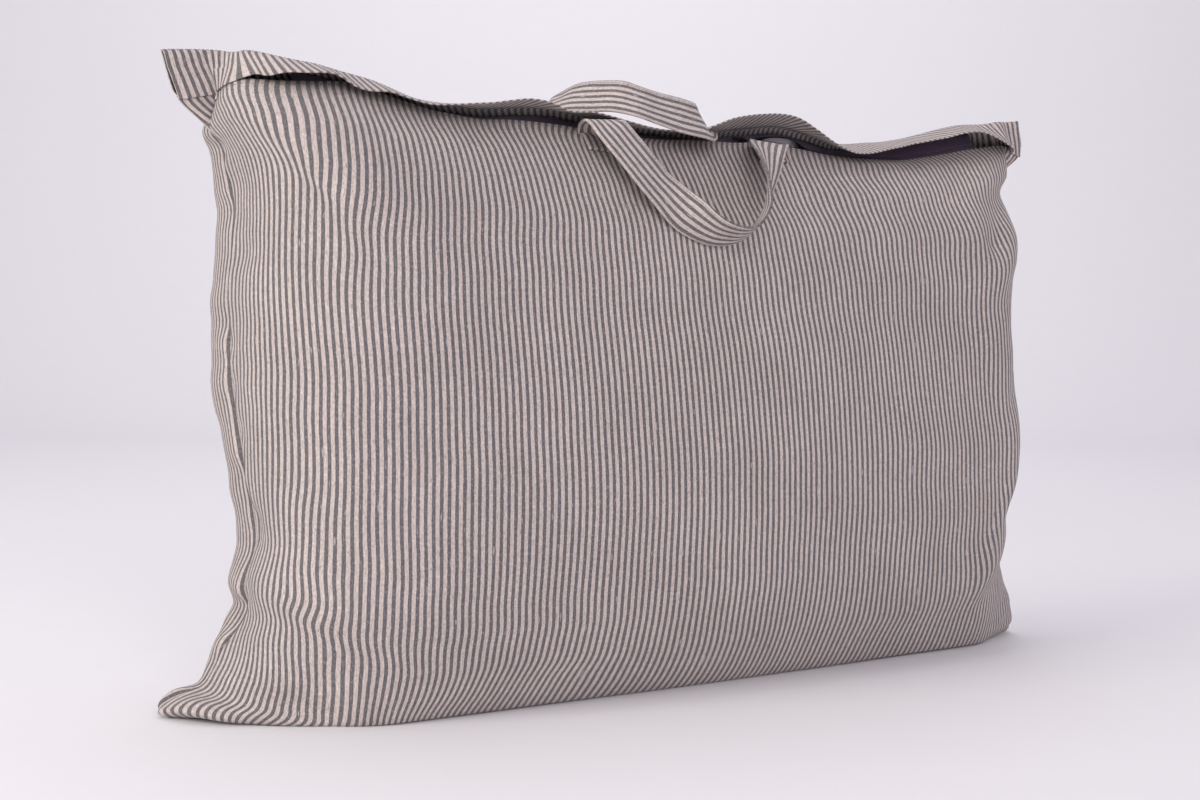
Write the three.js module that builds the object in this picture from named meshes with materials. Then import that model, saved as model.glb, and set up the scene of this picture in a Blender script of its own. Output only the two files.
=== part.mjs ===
// Striped linen storage bag, standing on its long bottom edge.
// Millimetres, +Z up. X runs along the bag, the zip side faces -Y, and the origin is on the
// floor under the middle of the bag.
import * as THREE from "three";
import { mergeVertices } from "three/addons/utils/BufferGeometryUtils.js";

// Flat sizes of the cut cloth
const BAG_WIDTH = 900; // between the side seams
const BAG_HEIGHT = 590; // bottom seam to the top fold of the back panel
const FLAP_DEPTH = 38; // the back panel's doubled edge, which covers the zip
const FRONT_HEIGHT = 556; // bottom seam to the folded zip edge of the front panel
const CLOTH = 2; // thickness of the cloth
const SEAM_GAP = 0.3; // between pieces that are sewn together

// Zip
const TAPE_THICKNESS = 1.2;
const TAPE_SEWN = 8; // width of each tape that is sewn inside its panel
const TAPE_FRONT = 5; // width of the front tape past the front panel's edge
const TAPE_BACK = 7; // width of the back tape that hangs free below the fold where the zip is open
const TAPE_ROOT = 584; // place on the flat back panel where its tape comes out
const ZIP_START = 110; // along the bag, from the left seam
const ZIP_END = 838;
const SLIDER_AT = 532; // the zip is open to the right of the slider
const OPEN_END = 622; // the open part ends here, where the tapes lie on each other again
const OPEN_EASE = 28; // length over which the tapes part behind the slider
const SLIDER_SIZE = { length: 9, depth: 8, height: 3 };
const PULL_SIZE = { length: 13, width: 4, thickness: 1.2 };

// Handles
const STRAP_WIDTH = 32;
const STRAP_THICKNESS = 2.4;
const STRAP_ENDS = [-88, 88]; // along X, the middle of each end
const STRAP_FOOT = 526; // place up the flat cloth of a strap's lower stitched line
const STRAP_STEPS = 44;

// Loose filling sheet, which stands against the back panel inside
const FILLING_THICKNESS = 12;
const FILLING_SIDES = [190, 710]; // along the bag
const FILLING_FOOT = 60; // up the flat back panel
const FILLING_TOP = 574;

// How finely the cloth is divided
const CELLS_ACROSS = 44;
const CELLS_UP = 24;
const CELLS_TO_FOLD = 3; // more rows of the back panel, from the zip edge's level to the top fold
const FLAP_STEPS = 7;
const FLAP_EASE = 1.7; // steps over which the flap turns from the fold to its set

/** A short table whose rows are joined by smooth curves; columns are read by name. */
function table(columns, rows) {
  const keys = rows.map((row) => row[0]);
  const slopes = columns.slice(1).map((_, c) => slopesOf(keys, rows.map((row) => row[c + 1])));
  return function at(key) {
    const place = Math.min(Math.max(key, keys[0]), keys[keys.length - 1]);
    let i = 0;
    while (i < keys.length - 2 && place > keys[i + 1]) i += 1;
    const step = keys[i + 1] - keys[i];
    const t = (place - keys[i]) / step;
    const values = {};
    columns.slice(1).forEach((name, c) => {
      const from = rows[i][c + 1];
      const to = rows[i + 1][c + 1];
      values[name] = hermite(t, from, to, slopes[c][i] * step, slopes[c][i + 1] * step);
    });
    return values;
  };
}

function slopesOf(keys, values) {
  const last = keys.length - 1;
  const chord = (i) => (values[i + 1] - values[i]) / (keys[i + 1] - keys[i]);
  return keys.map((_, i) => {
    if (i === 0) return chord(0);
    if (i === last) return chord(last - 1);
    const before = keys[i] - keys[i - 1];
    const after = keys[i + 1] - keys[i];
    return (chord(i - 1) * after + chord(i) * before) / (before + after);
  });
}

function hermite(t, from, to, slopeFrom, slopeTo) {
  const t2 = t * t;
  const t3 = t2 * t;
  return (
    (2 * t3 - 3 * t2 + 1) * from +
    (t3 - 2 * t2 + t) * slopeFrom +
    (3 * t2 - 2 * t3) * to +
    (t3 - t2) * slopeTo
  );
}

const mix = (a, b, t) => a + (b - a) * t;
const clamp01 = (t) => Math.min(Math.max(t, 0), 1);
const easeInOut = (t) => clamp01(t) ** 2 * (3 - 2 * clamp01(t));
const radians = (degrees) => (degrees * Math.PI) / 180;

// The side seams, from the bottom corners to the tips of the upper ears.
// up: along the seam; x: where the seam stands; height: above the floor; y: how far it lies back;
// ear: how far in from the seam the two panels still lie flat on each other.
const SIDE_SEAMS = table(
  ["up", "leftX", "rightX", "leftHeight", "rightHeight", "leftY", "rightY", "leftEar", "rightEar"],
  [
    [0, -422, 424, 3, 3, 8, 12, 0, 0],
    [20, -406, 414, 5, 9, 12, 12, 0, 0],
    [38, -392, 406, 9, 18, 14, 10, 0, 0],
    [52, -386, 402, 21, 28, 12, 8, 0, 0],
    [66, -384, 394, 35, 40, 9, 5, 0, 0],
    [82, -378, 384, 50, 54, 6, 3, 0, 0],
    [98, -369, 375, 63, 70, 3, 0, 0, 0],
    [114, -362, 368, 77, 86, 0, 0, 0, 0],
    [140, -366, 366, 96, 108, 0, 0, 0, 0],
    [184, -360, 362, 131, 146, 0, 0, 0, 0],
    [236, -366, 370, 180, 192, 0, 0, 0, 0],
    [306, -370, 368, 250, 255, 0, 0, 0, 0],
    [374, -366, 368, 313, 318, 0, 0, 0, 0],
    [452, -362, 370, 392, 390, 0, 0, 0, 0],
    [492, -368, 374, 428, 424, 0, 0, 0, 0],
    [520, -388, 384, 444, 440, 0, 0, 6, 4],
    [556, -411, 416, 464, 464, 0, 0, 34, 24],
    [590, -422, 422, 498, 498, 0, 0, 50, 36],
  ],
);

// Level sections of the front panel. height: at the crown; left, middle, right: how far the cloth
// stands out from the plane of the seams; leftRun, rightRun: from each seam to the full depth.
const FRONT_SECTIONS = table(
  ["up", "height", "left", "middle", "right", "leftRun", "rightRun"],
  [
    [0, 0, 0, 0, 0, 70, 60],
    [24, 0, 54, 25, 16, 74, 62],
    [48, 0, 82, 48, 28, 84, 64],
    [74, 2, 98, 71, 40, 100, 66],
    [114, 36, 110, 98, 66, 120, 68],
    [162, 80, 122, 118, 86, 140, 62],
    [282, 200, 126, 122, 84, 165, 40],
    [382, 300, 126, 113, 84, 145, 80],
    [442, 359, 123, 102, 80, 105, 110],
    [486, 400, 118, 88, 68, 78, 130],
    [519, 430, 104, 74, 46, 62, 138],
    [542, 448, 76, 61, 20, 54, 136],
    [556, 455, 52, 54, 2, 50, 132],
  ],
);

// The same for the back panel, up to the top fold.
const BACK_SECTIONS = table(
  ["up", "height", "left", "middle", "right", "leftRun", "rightRun"],
  [
    [0, 0, 0, 0, 0, 100, 60],
    [24, 0, 20, 24, 18, 105, 62],
    [48, 0, 38, 48, 36, 110, 66],
    [70, 2, 54, 68, 50, 115, 70],
    [110, 36, 76, 92, 74, 125, 80],
    [158, 80, 88, 112, 94, 135, 90],
    [278, 200, 98, 116, 104, 145, 100],
    [376, 300, 100, 108, 100, 135, 105],
    [434, 359, 92, 96, 90, 115, 110],
    [480, 400, 70, 76, 74, 90, 115],
    [518, 430, 38, 44, 52, 70, 120],
    [556, 452, -4, 2, 28, 60, 120],
    [590, 466, -47, -45, 6, 56, 120],
  ],
);

// Height of the front panel's zip edge and of the top fold, along the bag.
const ZIP_EDGE = table(
  ["across", "height"],
  [
    [0, 464], [45, 472], [70, 474], [100, 473], [130, 474], [150, 475], [172, 471], [190, 466],
    [206, 462], [240, 456], [260, 454], [290, 455], [330, 454], [380, 450], [420, 448],
    [480, 450], [520, 451], [568, 454], [595, 451], [650, 448], [700, 448], [725, 449],
    [752, 451], [777, 455], [801, 459], [827, 464], [852, 468], [878, 471], [900, 464],
  ],
);
const TOP_FOLD = table(
  ["across", "height"],
  [
    [0, 497], [15, 498], [30, 499], [50, 499], [70, 496], [90, 493], [105, 490], [135, 486],
    [150, 483], [175, 478], [192, 473], [210, 467], [245, 463], [260, 462], [280, 463],
    [300, 465], [335, 466], [350, 464], [407, 458], [450, 457], [490, 457], [505, 459],
    [550, 462], [575, 463], [600, 461], [625, 459], [655, 456], [675, 460], [695, 462],
    [725, 465], [755, 470], [780, 476], [805, 482], [825, 486], [850, 488], [875, 492],
    [900, 497],
  ],
);
const EDGE_ZONE = 110; // cloth below an edge that follows the edge's rise and fall

// How the flap sets, along the bag: degrees above the level, towards the front.
const FLAP_SET = table(
  ["across", "angle"],
  [
    [0, -86], [15, -82], [30, -68], [45, -49], [58, -39], [70, -36], [90, -34], [105, -24], [120, -18],
    [150, -11], [175, -16], [195, -12], [210, -6], [245, -2], [280, 2], [315, 5], [335, 2],
    [350, 0], [375, 3], [405, -4], [450, -8], [490, -3], [505, 5], [525, 13], [550, 17], [600, 22],
    [625, 18], [655, 7], [675, -10], [695, -14], [780, -16], [805, -20], [850, -21],
    [875, -36], [887, -65], [900, -86],
  ],
);

// Main folds of the panels, as soft troughs between two places on the flat cloth.
// side: -1 front, 1 back; deep is below the surface and negative where the cloth stands up.
const FOLDS = [
  { side: -1, from: [30, 500], to: [150, 430], wide: 20, deep: 7 },
  { side: -1, from: [46, 530], to: [120, 500], wide: 16, deep: -4 },
  { side: -1, from: [870, 492], to: [770, 410], wide: 20, deep: 7 },
  { side: -1, from: [845, 520], to: [790, 470], wide: 18, deep: -4 },
  { side: -1, from: [20, 128], to: [110, 92], wide: 20, deep: 6 },
  { side: -1, from: [60, 62], to: [150, 84], wide: 18, deep: 5 },
  { side: -1, from: [860, 110], to: [780, 130], wide: 24, deep: 3 },
  { side: -1, from: [20, 330], to: [80, 350], wide: 20, deep: 4 },
  { side: -1, from: [820, 300], to: [880, 316], wide: 20, deep: 4 },
  { side: 1, from: [34, 496], to: [150, 420], wide: 22, deep: 7 },
  { side: 1, from: [866, 500], to: [750, 420], wide: 22, deep: 7 },
  { side: 1, from: [24, 110], to: [130, 130], wide: 22, deep: 6 },
  { side: 1, from: [876, 110], to: [770, 130], wide: 22, deep: 6 },
  { side: 1, from: [20, 320], to: [96, 300], wide: 22, deep: 4 },
  { side: 1, from: [880, 300], to: [800, 320], wide: 22, deep: 4 },
];

// The handles where they leave their panels and hang free. A row for each station along the strap:
// the x, y and z of its middle, and the x, y and z of the way across it to its other long edge.
const FRONT_HANDLE = [
  [-91, -71, 452, 1, 0.08, 0],
  [-95, -80, 457, 1, 0.05, 0],
  [-97, -90, 457, 1, 0.02, 0],
  [-92, -97, 450, 1, 0.02, 0],
  [-80, -101, 436, 0.97, 0.12, 0.05],
  [-54, -106, 407, 0.93, 0.15, 0.3],
  [-29, -114, 384, 0.56, -0.5, 0.55],
  [-6, -122, 371, 0.1, -0.85, 0.5],
  [16, -127, 371, -0.2, -0.93, 0.3],
  [32, -125, 387, -0.35, -0.93, 0.1],
  [44, -115, 408, -0.6, -0.8, 0],
  [54, -101, 430, -0.85, -0.5, 0],
  [62, -88, 444, -1, -0.1, 0],
  [72, -76, 450, -1, -0.1, 0],
  [81, -64, 450, -1, -0.1, 0],
];
const BACK_HANDLE = [
  [-92, 40, 456, 0.95, 0, 0.2],
  [-100, 14, 472, 0.8, 0, 0.6],
  [-103, -20, 477, 0.7, 0.05, 0.7],
  [-98, -42, 480, 0.6, 0.25, 0.75],
  [-87, -61, 480, 0.42, 0.42, 0.8],
  [-74, -77, 479, 0.28, 0.5, 0.82],
  [-61, -85, 475, 0.15, 0.53, 0.84],
  [-45, -86, 471, 0.15, 0.47, 0.87],
  [-31, -87, 468, 0.18, 0.42, 0.88],
  [-16, -87, 467, 0.15, 0.42, 0.88],
  [-2, -82, 470, -0.1, 0.45, 0.85],
  [9, -68, 476, -0.75, 0.35, 0.5],
  [17, -48, 476, -0.9, 0.2, 0.3],
  [28, -26, 473, -0.8, 0.5, 0.2],
  [44, -6, 471, -0.7, 0.7, 0.12],
  [64, 14, 466, -0.75, 0.65, 0.05],
  [80, 30, 457, -0.95, 0.3, 0],
];

const FRONT = { side: -1, sections: FRONT_SECTIONS, height: FRONT_HEIGHT, edge: ZIP_EDGE };
const BACK = { side: 1, sections: BACK_SECTIONS, height: BAG_HEIGHT, edge: TOP_FOLD };

const ROUNDNESS = 2.6; // power of the curve that turns a panel from the seam to its face
const SIDE_BULGE = 0.07; // how far the side faces swell past the seam, as a share of the depth
const EAR_PADDING = 1.4; // how far each panel stands off the other in the flat ears
const LEAN_REACH = 110; // from a seam to where its lean is gone
const SECTION_POINTS = 40;

/** Plan of the turn from a seam to the full depth: distance in from the seam, and depth. */
function sideTurn(ear, run, depth) {
  const points = [[0, 0]];
  if (ear > 0.5) points.push([ear / 2, EAR_PADDING], [ear, EAR_PADDING]);
  for (let i = 1; i <= SECTION_POINTS; i += 1) {
    const angle = (i / SECTION_POINTS) * (Math.PI / 2);
    const inwards = run * (1 - Math.cos(angle) ** (2 / ROUNDNESS));
    const swell = SIDE_BULGE * depth * Math.sin(Math.PI * Math.sin(angle));
    const start = ear > 0.5 ? EAR_PADDING : 0;
    points.push([ear + inwards - swell, start + (depth - start) * Math.sin(angle) ** (2 / ROUNDNESS)]);
  }
  return points;
}

/** Plan of one level section from the left to the right seam, with the length along the cloth. */
function sectionPlan(panel, up) {
  const row = panel.sections(up);
  const seam = SIDE_SEAMS(up);
  const leftEar = Math.max(seam.leftEar, 0);
  const rightEar = Math.max(seam.rightEar, 0);
  const left = sideTurn(leftEar, row.leftRun, row.left).map(([a, d]) => [seam.leftX + a, d]);
  const right = sideTurn(rightEar, row.rightRun, row.right).map(([a, d]) => [seam.rightX - a, d]);
  const fromX = seam.leftX + leftEar + row.leftRun;
  const toX = seam.rightX - rightEar - row.rightRun;
  const crown = row.middle - (row.left + row.right) / 2;
  const face = [];
  for (let i = 1; i < SECTION_POINTS; i += 1) {
    const s = i / SECTION_POINTS;
    face.push([mix(fromX, toX, s), mix(row.left, row.right, s) + crown * 4 * s * (1 - s)]);
  }
  const points = [...left, ...face, ...right.reverse()];
  const lengths = [0];
  for (let i = 1; i < points.length; i += 1) {
    const [ax, ad] = points[i - 1];
    const [bx, bd] = points[i];
    lengths.push(lengths[i - 1] + Math.hypot(bx - ax, bd - ad));
  }
  return { up, row, seam, points, lengths, fromX, toX };
}

function alongPlan(plan, share) {
  const { points, lengths } = plan;
  const wanted = share * lengths[lengths.length - 1];
  let i = 1;
  while (i < lengths.length - 1 && lengths[i] < wanted) i += 1;
  const t = clamp01((wanted - lengths[i - 1]) / Math.max(lengths[i] - lengths[i - 1], 1e-9));
  return [mix(points[i - 1][0], points[i][0], t), mix(points[i - 1][1], points[i][1], t)];
}

function foldDepth(side, across, up) {
  let depth = 0;
  for (const fold of FOLDS) {
    if (fold.side !== side) continue;
    const [fromA, fromU] = fold.from;
    const alongA = fold.to[0] - fromA;
    const alongU = fold.to[1] - fromU;
    const length = Math.hypot(alongA, alongU);
    const along = ((across - fromA) * alongA + (up - fromU) * alongU) / length;
    const away = ((across - fromA) * alongU - (up - fromU) * alongA) / length;
    const end = Math.max(0, -along, along - length);
    depth += fold.deep * Math.exp(-((away / fold.wide) ** 2) - (end / fold.wide) ** 2);
  }
  return depth;
}

/** How far back the surface between the panels lies, at a distance along X. */
function leanAt(seam, x) {
  const fromLeft = clamp01((x - seam.leftX) / LEAN_REACH);
  const fromRight = clamp01((seam.rightX - x) / LEAN_REACH);
  return seam.leftY * (1 - easeInOut(fromLeft)) + seam.rightY * (1 - easeInOut(fromRight));
}

/** Inner face of a panel's cloth at a place on the flat cloth. */
function panelPoint(panel, plan, across) {
  const { up, row, seam, fromX, toX } = plan;
  const [x, depth] = alongPlan(plan, across / BAG_WIDTH);
  const leftShare = clamp01((x - seam.leftX) / (fromX - seam.leftX));
  const rightShare = clamp01((seam.rightX - x) / (seam.rightX - toX));
  const crown = Math.sin(Math.min(leftShare, rightShare) * (Math.PI / 2));
  const atLeft = across < BAG_WIDTH / 2;
  const heightAt = (level, seams) =>
    mix(atLeft ? seams.leftHeight : seams.rightHeight, level.height, crown);
  const top = heightAt(panel.sections(panel.height), SIDE_SEAMS(panel.height));
  const follow = clamp01((up - panel.height + EDGE_ZONE) / EDGE_ZONE) ** 2;
  const height = heightAt(row, seam) + (panel.edge(across).height - top) * follow;
  const inward = foldDepth(panel.side, across, up) * Math.min(1, crown * 2);
  const y = leanAt(seam, x) + panel.side * (depth - inward);
  const point = new THREE.Vector3(x, y, Math.max(height, CLOTH + SEAM_GAP / 2));
  point.middle = up <= FRONT_HEIGHT ? seam : null;
  return point;
}

/** Levels up the flat cloth at which both panels have their rows; they meet along the seams. */
function levels(panel) {
  const ups = [];
  for (let j = 0; j <= CELLS_UP; j += 1) ups.push(FRONT_HEIGHT * spread(j / CELLS_UP));
  const above = (panel.height - FRONT_HEIGHT) / CELLS_TO_FOLD;
  for (let up = FRONT_HEIGHT + above; above > 0 && up < panel.height + 1; up += above) ups.push(up);
  return ups;
}

/** A panel's sheet: columns of inner face points from the bottom upwards, and their normals. */
function panelSheet(panel) {
  const ups = levels(panel);
  const plans = ups.map((up) => sectionPlan(panel, up));
  const acrosses = [];
  for (let i = 0; i <= CELLS_ACROSS; i += 1) acrosses.push(BAG_WIDTH * spread(i / CELLS_ACROSS));
  const columns = acrosses.map((across) => {
    const column = plans.map((plan) => panelPoint(panel, plan, across));
    if (panel === BACK) column.push(...flapPoints(across, column));
    return column;
  });
  standOffSeams(columns, panel.side);
  return { columns, ups, acrosses, normals: gridNormals(columns, panel.side) };
}

/** Puts more columns and rows near the edges, where the cloth turns. */
function spread(share) {
  return share - 0.08 * Math.sin(2 * Math.PI * share);
}

/** Carries a column of the back panel over the top fold and along the flap. */
function flapPoints(across, column) {
  const step = FLAP_DEPTH / FLAP_STEPS;
  const last = column[column.length - 1];
  const before = column[column.length - 2];
  const rising = Math.atan2(last.z - before.z, before.y - last.y);
  const set = radians(FLAP_SET(across).angle);
  const points = [];
  let place = last;
  for (let j = 0; j < FLAP_STEPS; j += 1) {
    const angle = mix(rising, set, easeInOut((j + 1) / FLAP_EASE));
    const along = new THREE.Vector3(0, -Math.cos(angle), Math.sin(angle));
    place = place.clone().addScaledVector(along, step);
    points.push(place);
  }
  return points;
}

/** Outward normals of a grid of points whose columns run along +X and rows upwards. */
function gridNormals(columns, side) {
  const at = (i, j) => columns[Math.min(Math.max(i, 0), columns.length - 1)][j];
  return columns.map((column, i) =>
    column.map((_, j) => {
      const across = at(i + 1, j).clone().sub(at(i - 1, j));
      const above = Math.min(j + 1, column.length - 1);
      const up = column[above].clone().sub(column[Math.max(j - 1, 0)]);
      return across.cross(up).normalize().multiplyScalar(-side);
    }),
  );
}

/** Closed sheet of even thickness outside a grid of points on its inner face. */
function sheetGeometry(columns, side, thickness, clearance) {
  const normals = gridNormals(columns, side);
  const rows = columns[0].length;
  const corners = [];
  for (const offset of [clearance + thickness, clearance]) {
    columns.forEach((column, i) => {
      column.forEach((point, j) => {
        const corner = point.clone().addScaledVector(normals[i][j], offset);
        corner.z = Math.max(corner.z, 0);
        if (point.middle) {
          const least = leanAt(point.middle, corner.x) + side * clearance;
          corner.y = side > 0 ? Math.max(corner.y, least) : Math.min(corner.y, least);
        }
        corners.push(corner);
      });
    });
  }
  const count = columns.length * rows;
  const outer = (i, j) => i * rows + j;
  const inner = (i, j) => count + i * rows + j;
  const faces = [];
  const quad = (a, b, c, d) => faces.push(...(side > 0 ? [a, c, b, a, d, c] : [a, b, c, a, c, d]));
  for (let i = 0; i < columns.length - 1; i += 1) {
    for (let j = 0; j < rows - 1; j += 1) {
      quad(outer(i, j), outer(i + 1, j), outer(i + 1, j + 1), outer(i, j + 1));
      quad(inner(i, j), inner(i, j + 1), inner(i + 1, j + 1), inner(i + 1, j));
    }
    quad(outer(i, 0), inner(i, 0), inner(i + 1, 0), outer(i + 1, 0));
    const top = rows - 1;
    quad(outer(i, top), outer(i + 1, top), inner(i + 1, top), inner(i, top));
  }
  for (let j = 0; j < rows - 1; j += 1) {
    const end = columns.length - 1;
    quad(outer(0, j), outer(0, j + 1), inner(0, j + 1), inner(0, j));
    quad(outer(end, j), inner(end, j), inner(end, j + 1), outer(end, j + 1));
  }
  const geometry = new THREE.BufferGeometry();
  geometry.setAttribute("position", new THREE.Float32BufferAttribute(corners.flatMap((p) => [...p]), 3));
  geometry.setIndex(faces);
  return geometry;
}

/** Parts the panels' edges at the seams by the seam gap where the cloth runs from one into the other. */
function standOffSeams(columns, side) {
  const normals = gridNormals(columns, side);
  const ends = [0, columns.length - 1];
  columns.forEach((column, i) => {
    column.forEach((point, j) => {
      if (j > CELLS_UP || !(ends.includes(i) || j === 0)) return;
      point.y += side * (SEAM_GAP / 2) * (1 - Math.abs(normals[i][j].y));
    });
  });
}

/** Place on a panel's built sheet, the way across it and the way out, at flat cloth sizes. */
function onSheet(sheet, across, up) {
  const i = sheet.acrosses.findIndex((a) => a > across) - 1;
  const j = sheet.ups.findIndex((u) => u > up) - 1;
  const s = (across - sheet.acrosses[i]) / (sheet.acrosses[i + 1] - sheet.acrosses[i]);
  const t = (up - sheet.ups[j]) / (sheet.ups[j + 1] - sheet.ups[j]);
  const between = (grid) => {
    const above = grid[i][j + 1].clone().lerp(grid[i + 1][j + 1], s);
    return grid[i][j].clone().lerp(grid[i + 1][j], s).lerp(above, t);
  };
  const alongX = sheet.columns[i + 1][j].clone().sub(sheet.columns[i][j]).normalize();
  return { place: between(sheet.columns), out: between(sheet.normals).normalize(), alongX };
}

/** Place along the flat cloth that lies at a given X. */
function acrossAt(sheet, x, up) {
  let low = 0;
  let high = BAG_WIDTH - 1;
  while (high - low > 0.01) {
    const middle = (low + high) / 2;
    if (onSheet(sheet, middle, up).place.x < x) low = middle;
    else high = middle;
  }
  return low;
}

/** Closed strip of even thickness; each row of middle points runs along the strip. */
function stripGeometry(rows, thickness) {
  const columns = rows[0].map((_, i) => rows.map((row) => row[i]));
  return sheetGeometry(columns, -1, thickness, -thickness / 2);
}

/** Places along a tape: its ends, and between them those of the panel's own columns. */
function tapePlaces(sheet) {
  const inside = sheet.acrosses.filter((a) => a > ZIP_START + 4 && a < ZIP_END - 4);
  return [ZIP_START, ...inside, ZIP_END];
}

/** Middle line of a tape on the inside of a panel, at a height up its flat cloth. */
function tapeLine(sheet, up) {
  return tapePlaces(sheet).map((across) => {
    const { place, out } = onSheet(sheet, across, up);
    return place.addScaledVector(out, -SEAM_GAP - TAPE_THICKNESS / 2);
  });
}

/** Middle lines of the tape that is sewn inside the front panel's edge and runs back from it. */
function frontTapeRows() {
  const root = tapeLine(backSheet, TAPE_ROOT);
  const edge = tapeLine(frontSheet, FRONT_HEIGHT - 0.01);
  const free = edge.map((place, i) => {
    return place.clone().addScaledVector(root[i].clone().sub(place).normalize(), TAPE_FRONT);
  });
  return [tapeLine(frontSheet, FRONT_HEIGHT - TAPE_SEWN), edge, free];
}

/** Middle lines of the tape that is sewn inside the back panel and hangs from below its fold. */
function backTapeRows(frontFree) {
  const root = tapeLine(backSheet, TAPE_ROOT);
  const free = tapePlaces(backSheet).map((across, i) => {
    const toRoot = root[i].clone().sub(frontFree[i]).normalize();
    const closed = frontFree[i].clone().addScaledVector(toRoot, SEAM_GAP);
    const hanging = root[i].clone().add(new THREE.Vector3(0, -TAPE_BACK * 0.45, -TAPE_BACK * 0.9));
    const begins = easeInOut((across - SLIDER_AT) / OPEN_EASE);
    const ends = easeInOut((OPEN_END - across) / OPEN_EASE);
    return closed.lerp(hanging, begins * ends);
  });
  return [free, root, tapeLine(backSheet, TAPE_ROOT - TAPE_SEWN)];
}

/** Stations of a handle's long edges and middle: flat ends on the panel, free strap between. */
function handleStations(sheet, rows) {
  const lift = CLOTH + SEAM_GAP * 1.5 + STRAP_THICKNESS / 2;
  const foot = (x, up, turn) => [-1, 0, 1].map((side) => {
    const { place, out } = onSheet(sheet, acrossAt(sheet, x + (side * turn * STRAP_WIDTH) / 2, up), up);
    return place.addScaledVector(out, lift);
  });
  const middles = rows.map((row) => new THREE.Vector3(...row.slice(0, 3)));
  const free = rows.map((row, i) => {
    const ahead = middles[Math.min(i + 1, rows.length - 1)];
    const along = ahead.clone().sub(middles[Math.max(i - 1, 0)]).normalize();
    const across = new THREE.Vector3(...row.slice(3));
    across.addScaledVector(along, -across.dot(along)).normalize();
    return [-1, 0, 1].map((side) => middles[i].clone().addScaledVector(across, (side * STRAP_WIDTH) / 2));
  });
  const feet = [STRAP_FOOT, STRAP_FOOT + 8, STRAP_FOOT + 16];
  const [left, right] = STRAP_ENDS;
  return [
    ...feet.map((up) => foot(left, up, Math.sign(rows[0][3]))),
    ...free,
    ...feet.reverse().map((up) => foot(right, up, Math.sign(rows[rows.length - 1][3]))),
  ];
}

/** Flat strap whose edges and middle run smoothly through its stations. */
function strapGeometry(stations) {
  const lengths = [0];
  for (let i = 1; i < stations.length; i += 1) {
    lengths.push(lengths[i - 1] + stations[i][1].distanceTo(stations[i - 1][1]));
  }
  const total = lengths[lengths.length - 1];
  const lines = [0, 1, 2].map((k) => {
    const at = table(["along", "x", "y", "z"], stations.map((row, i) => [lengths[i], ...row[k]]));
    const line = [];
    for (let i = 0; i <= STRAP_STEPS; i += 1) {
      const { x, y, z } = at((i / STRAP_STEPS) * total);
      line.push(new THREE.Vector3(x, y, z));
    }
    return line;
  });
  return stripGeometry(lines, STRAP_THICKNESS);
}

/** Box around a middle line of the zip: X along the teeth, Y across the tapes, Z out of them. */
function zipFrame(frontFree, backFree, across) {
  const places = tapePlaces(frontSheet);
  const i = places.findIndex((a) => a > across) - 1;
  const t = (across - places[i]) / (places[i + 1] - places[i]);
  const origin = frontFree[i].clone().lerp(frontFree[i + 1], t);
  const along = frontFree[i + 1].clone().sub(frontFree[i]).normalize();
  const back = backFree[i].clone().sub(frontFree[i]).normalize();
  const out = along.clone().cross(back).normalize();
  return new THREE.Matrix4()
    .makeBasis(along, out.clone().cross(along), out)
    .setPosition(origin.addScaledVector(out, TAPE_THICKNESS / 2 + SEAM_GAP));
}

/** Flat block with rounded ends, from its outline's two end widths; it lies on Z 0. */
function roundedBlock(length, widthLeft, widthRight, height) {
  const shape = new THREE.Shape();
  const left = -length / 2;
  shape.moveTo(left, -widthLeft / 2);
  shape.lineTo(-left, -widthRight / 2);
  shape.lineTo(-left, widthRight / 2);
  shape.lineTo(left, widthLeft / 2);
  shape.absarc(left, 0, widthLeft / 2, Math.PI / 2, (3 * Math.PI) / 2, false);
  const options = { depth: height, bevelEnabled: false, curveSegments: 8 };
  const extruded = new THREE.ExtrudeGeometry(shape, options);
  extruded.deleteAttribute("uv");
  extruded.deleteAttribute("normal");
  return mergeVertices(extruded, 1e-4);
}

/** Wadding sheet just inside the back panel, from its foot to the top behind the open zip. */
function fillingGeometry() {
  const [from, to] = FILLING_SIDES;
  const acrosses = backSheet.acrosses.filter((a) => a > from && a < to);
  const rows = backSheet.ups.filter((up, j) => up > FILLING_FOOT && up < FILLING_TOP && j % 2 === 0);
  const ups = [FILLING_FOOT, ...rows, FILLING_TOP];
  const columns = acrosses.map((across) => ups.map((up) => {
    const { place, out } = onSheet(backSheet, across, up);
    return place.addScaledVector(out, -SEAM_GAP);
  }));
  return sheetGeometry(columns, 1, FILLING_THICKNESS, -FILLING_THICKNESS);
}

const frontSheet = panelSheet(FRONT);
const backSheet = panelSheet(BACK);

const group = new THREE.Group();

function addPiece(name, geometry, color, roughness, metalness = 0) {
  const mesh = new THREE.Mesh(geometry, new THREE.MeshStandardMaterial({ color, roughness, metalness }));
  mesh.name = name;
  group.add(mesh);
}

addPiece("front_panel", sheetGeometry(frontSheet.columns, -1, CLOTH, SEAM_GAP / 2), 0xa59a98, 0.9);
addPiece("back_panel", sheetGeometry(backSheet.columns, 1, CLOTH, SEAM_GAP / 2), 0xa59a98, 0.9);
const frontTape = frontTapeRows();
const backTape = backTapeRows(frontTape[2]);
addPiece("zip_tape_front", stripGeometry(frontTape, TAPE_THICKNESS), 0x5d4c63, 0.8);
addPiece("zip_tape_back", stripGeometry(backTape, TAPE_THICKNESS), 0x5d4c63, 0.8);
const frontStrap = handleStations(frontSheet, FRONT_HANDLE);
const backStrap = handleStations(backSheet, BACK_HANDLE);
addPiece("handle_front", strapGeometry(frontStrap), 0xa59a98, 0.9);
addPiece("handle_back", strapGeometry(backStrap), 0xa59a98, 0.9);

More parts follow.
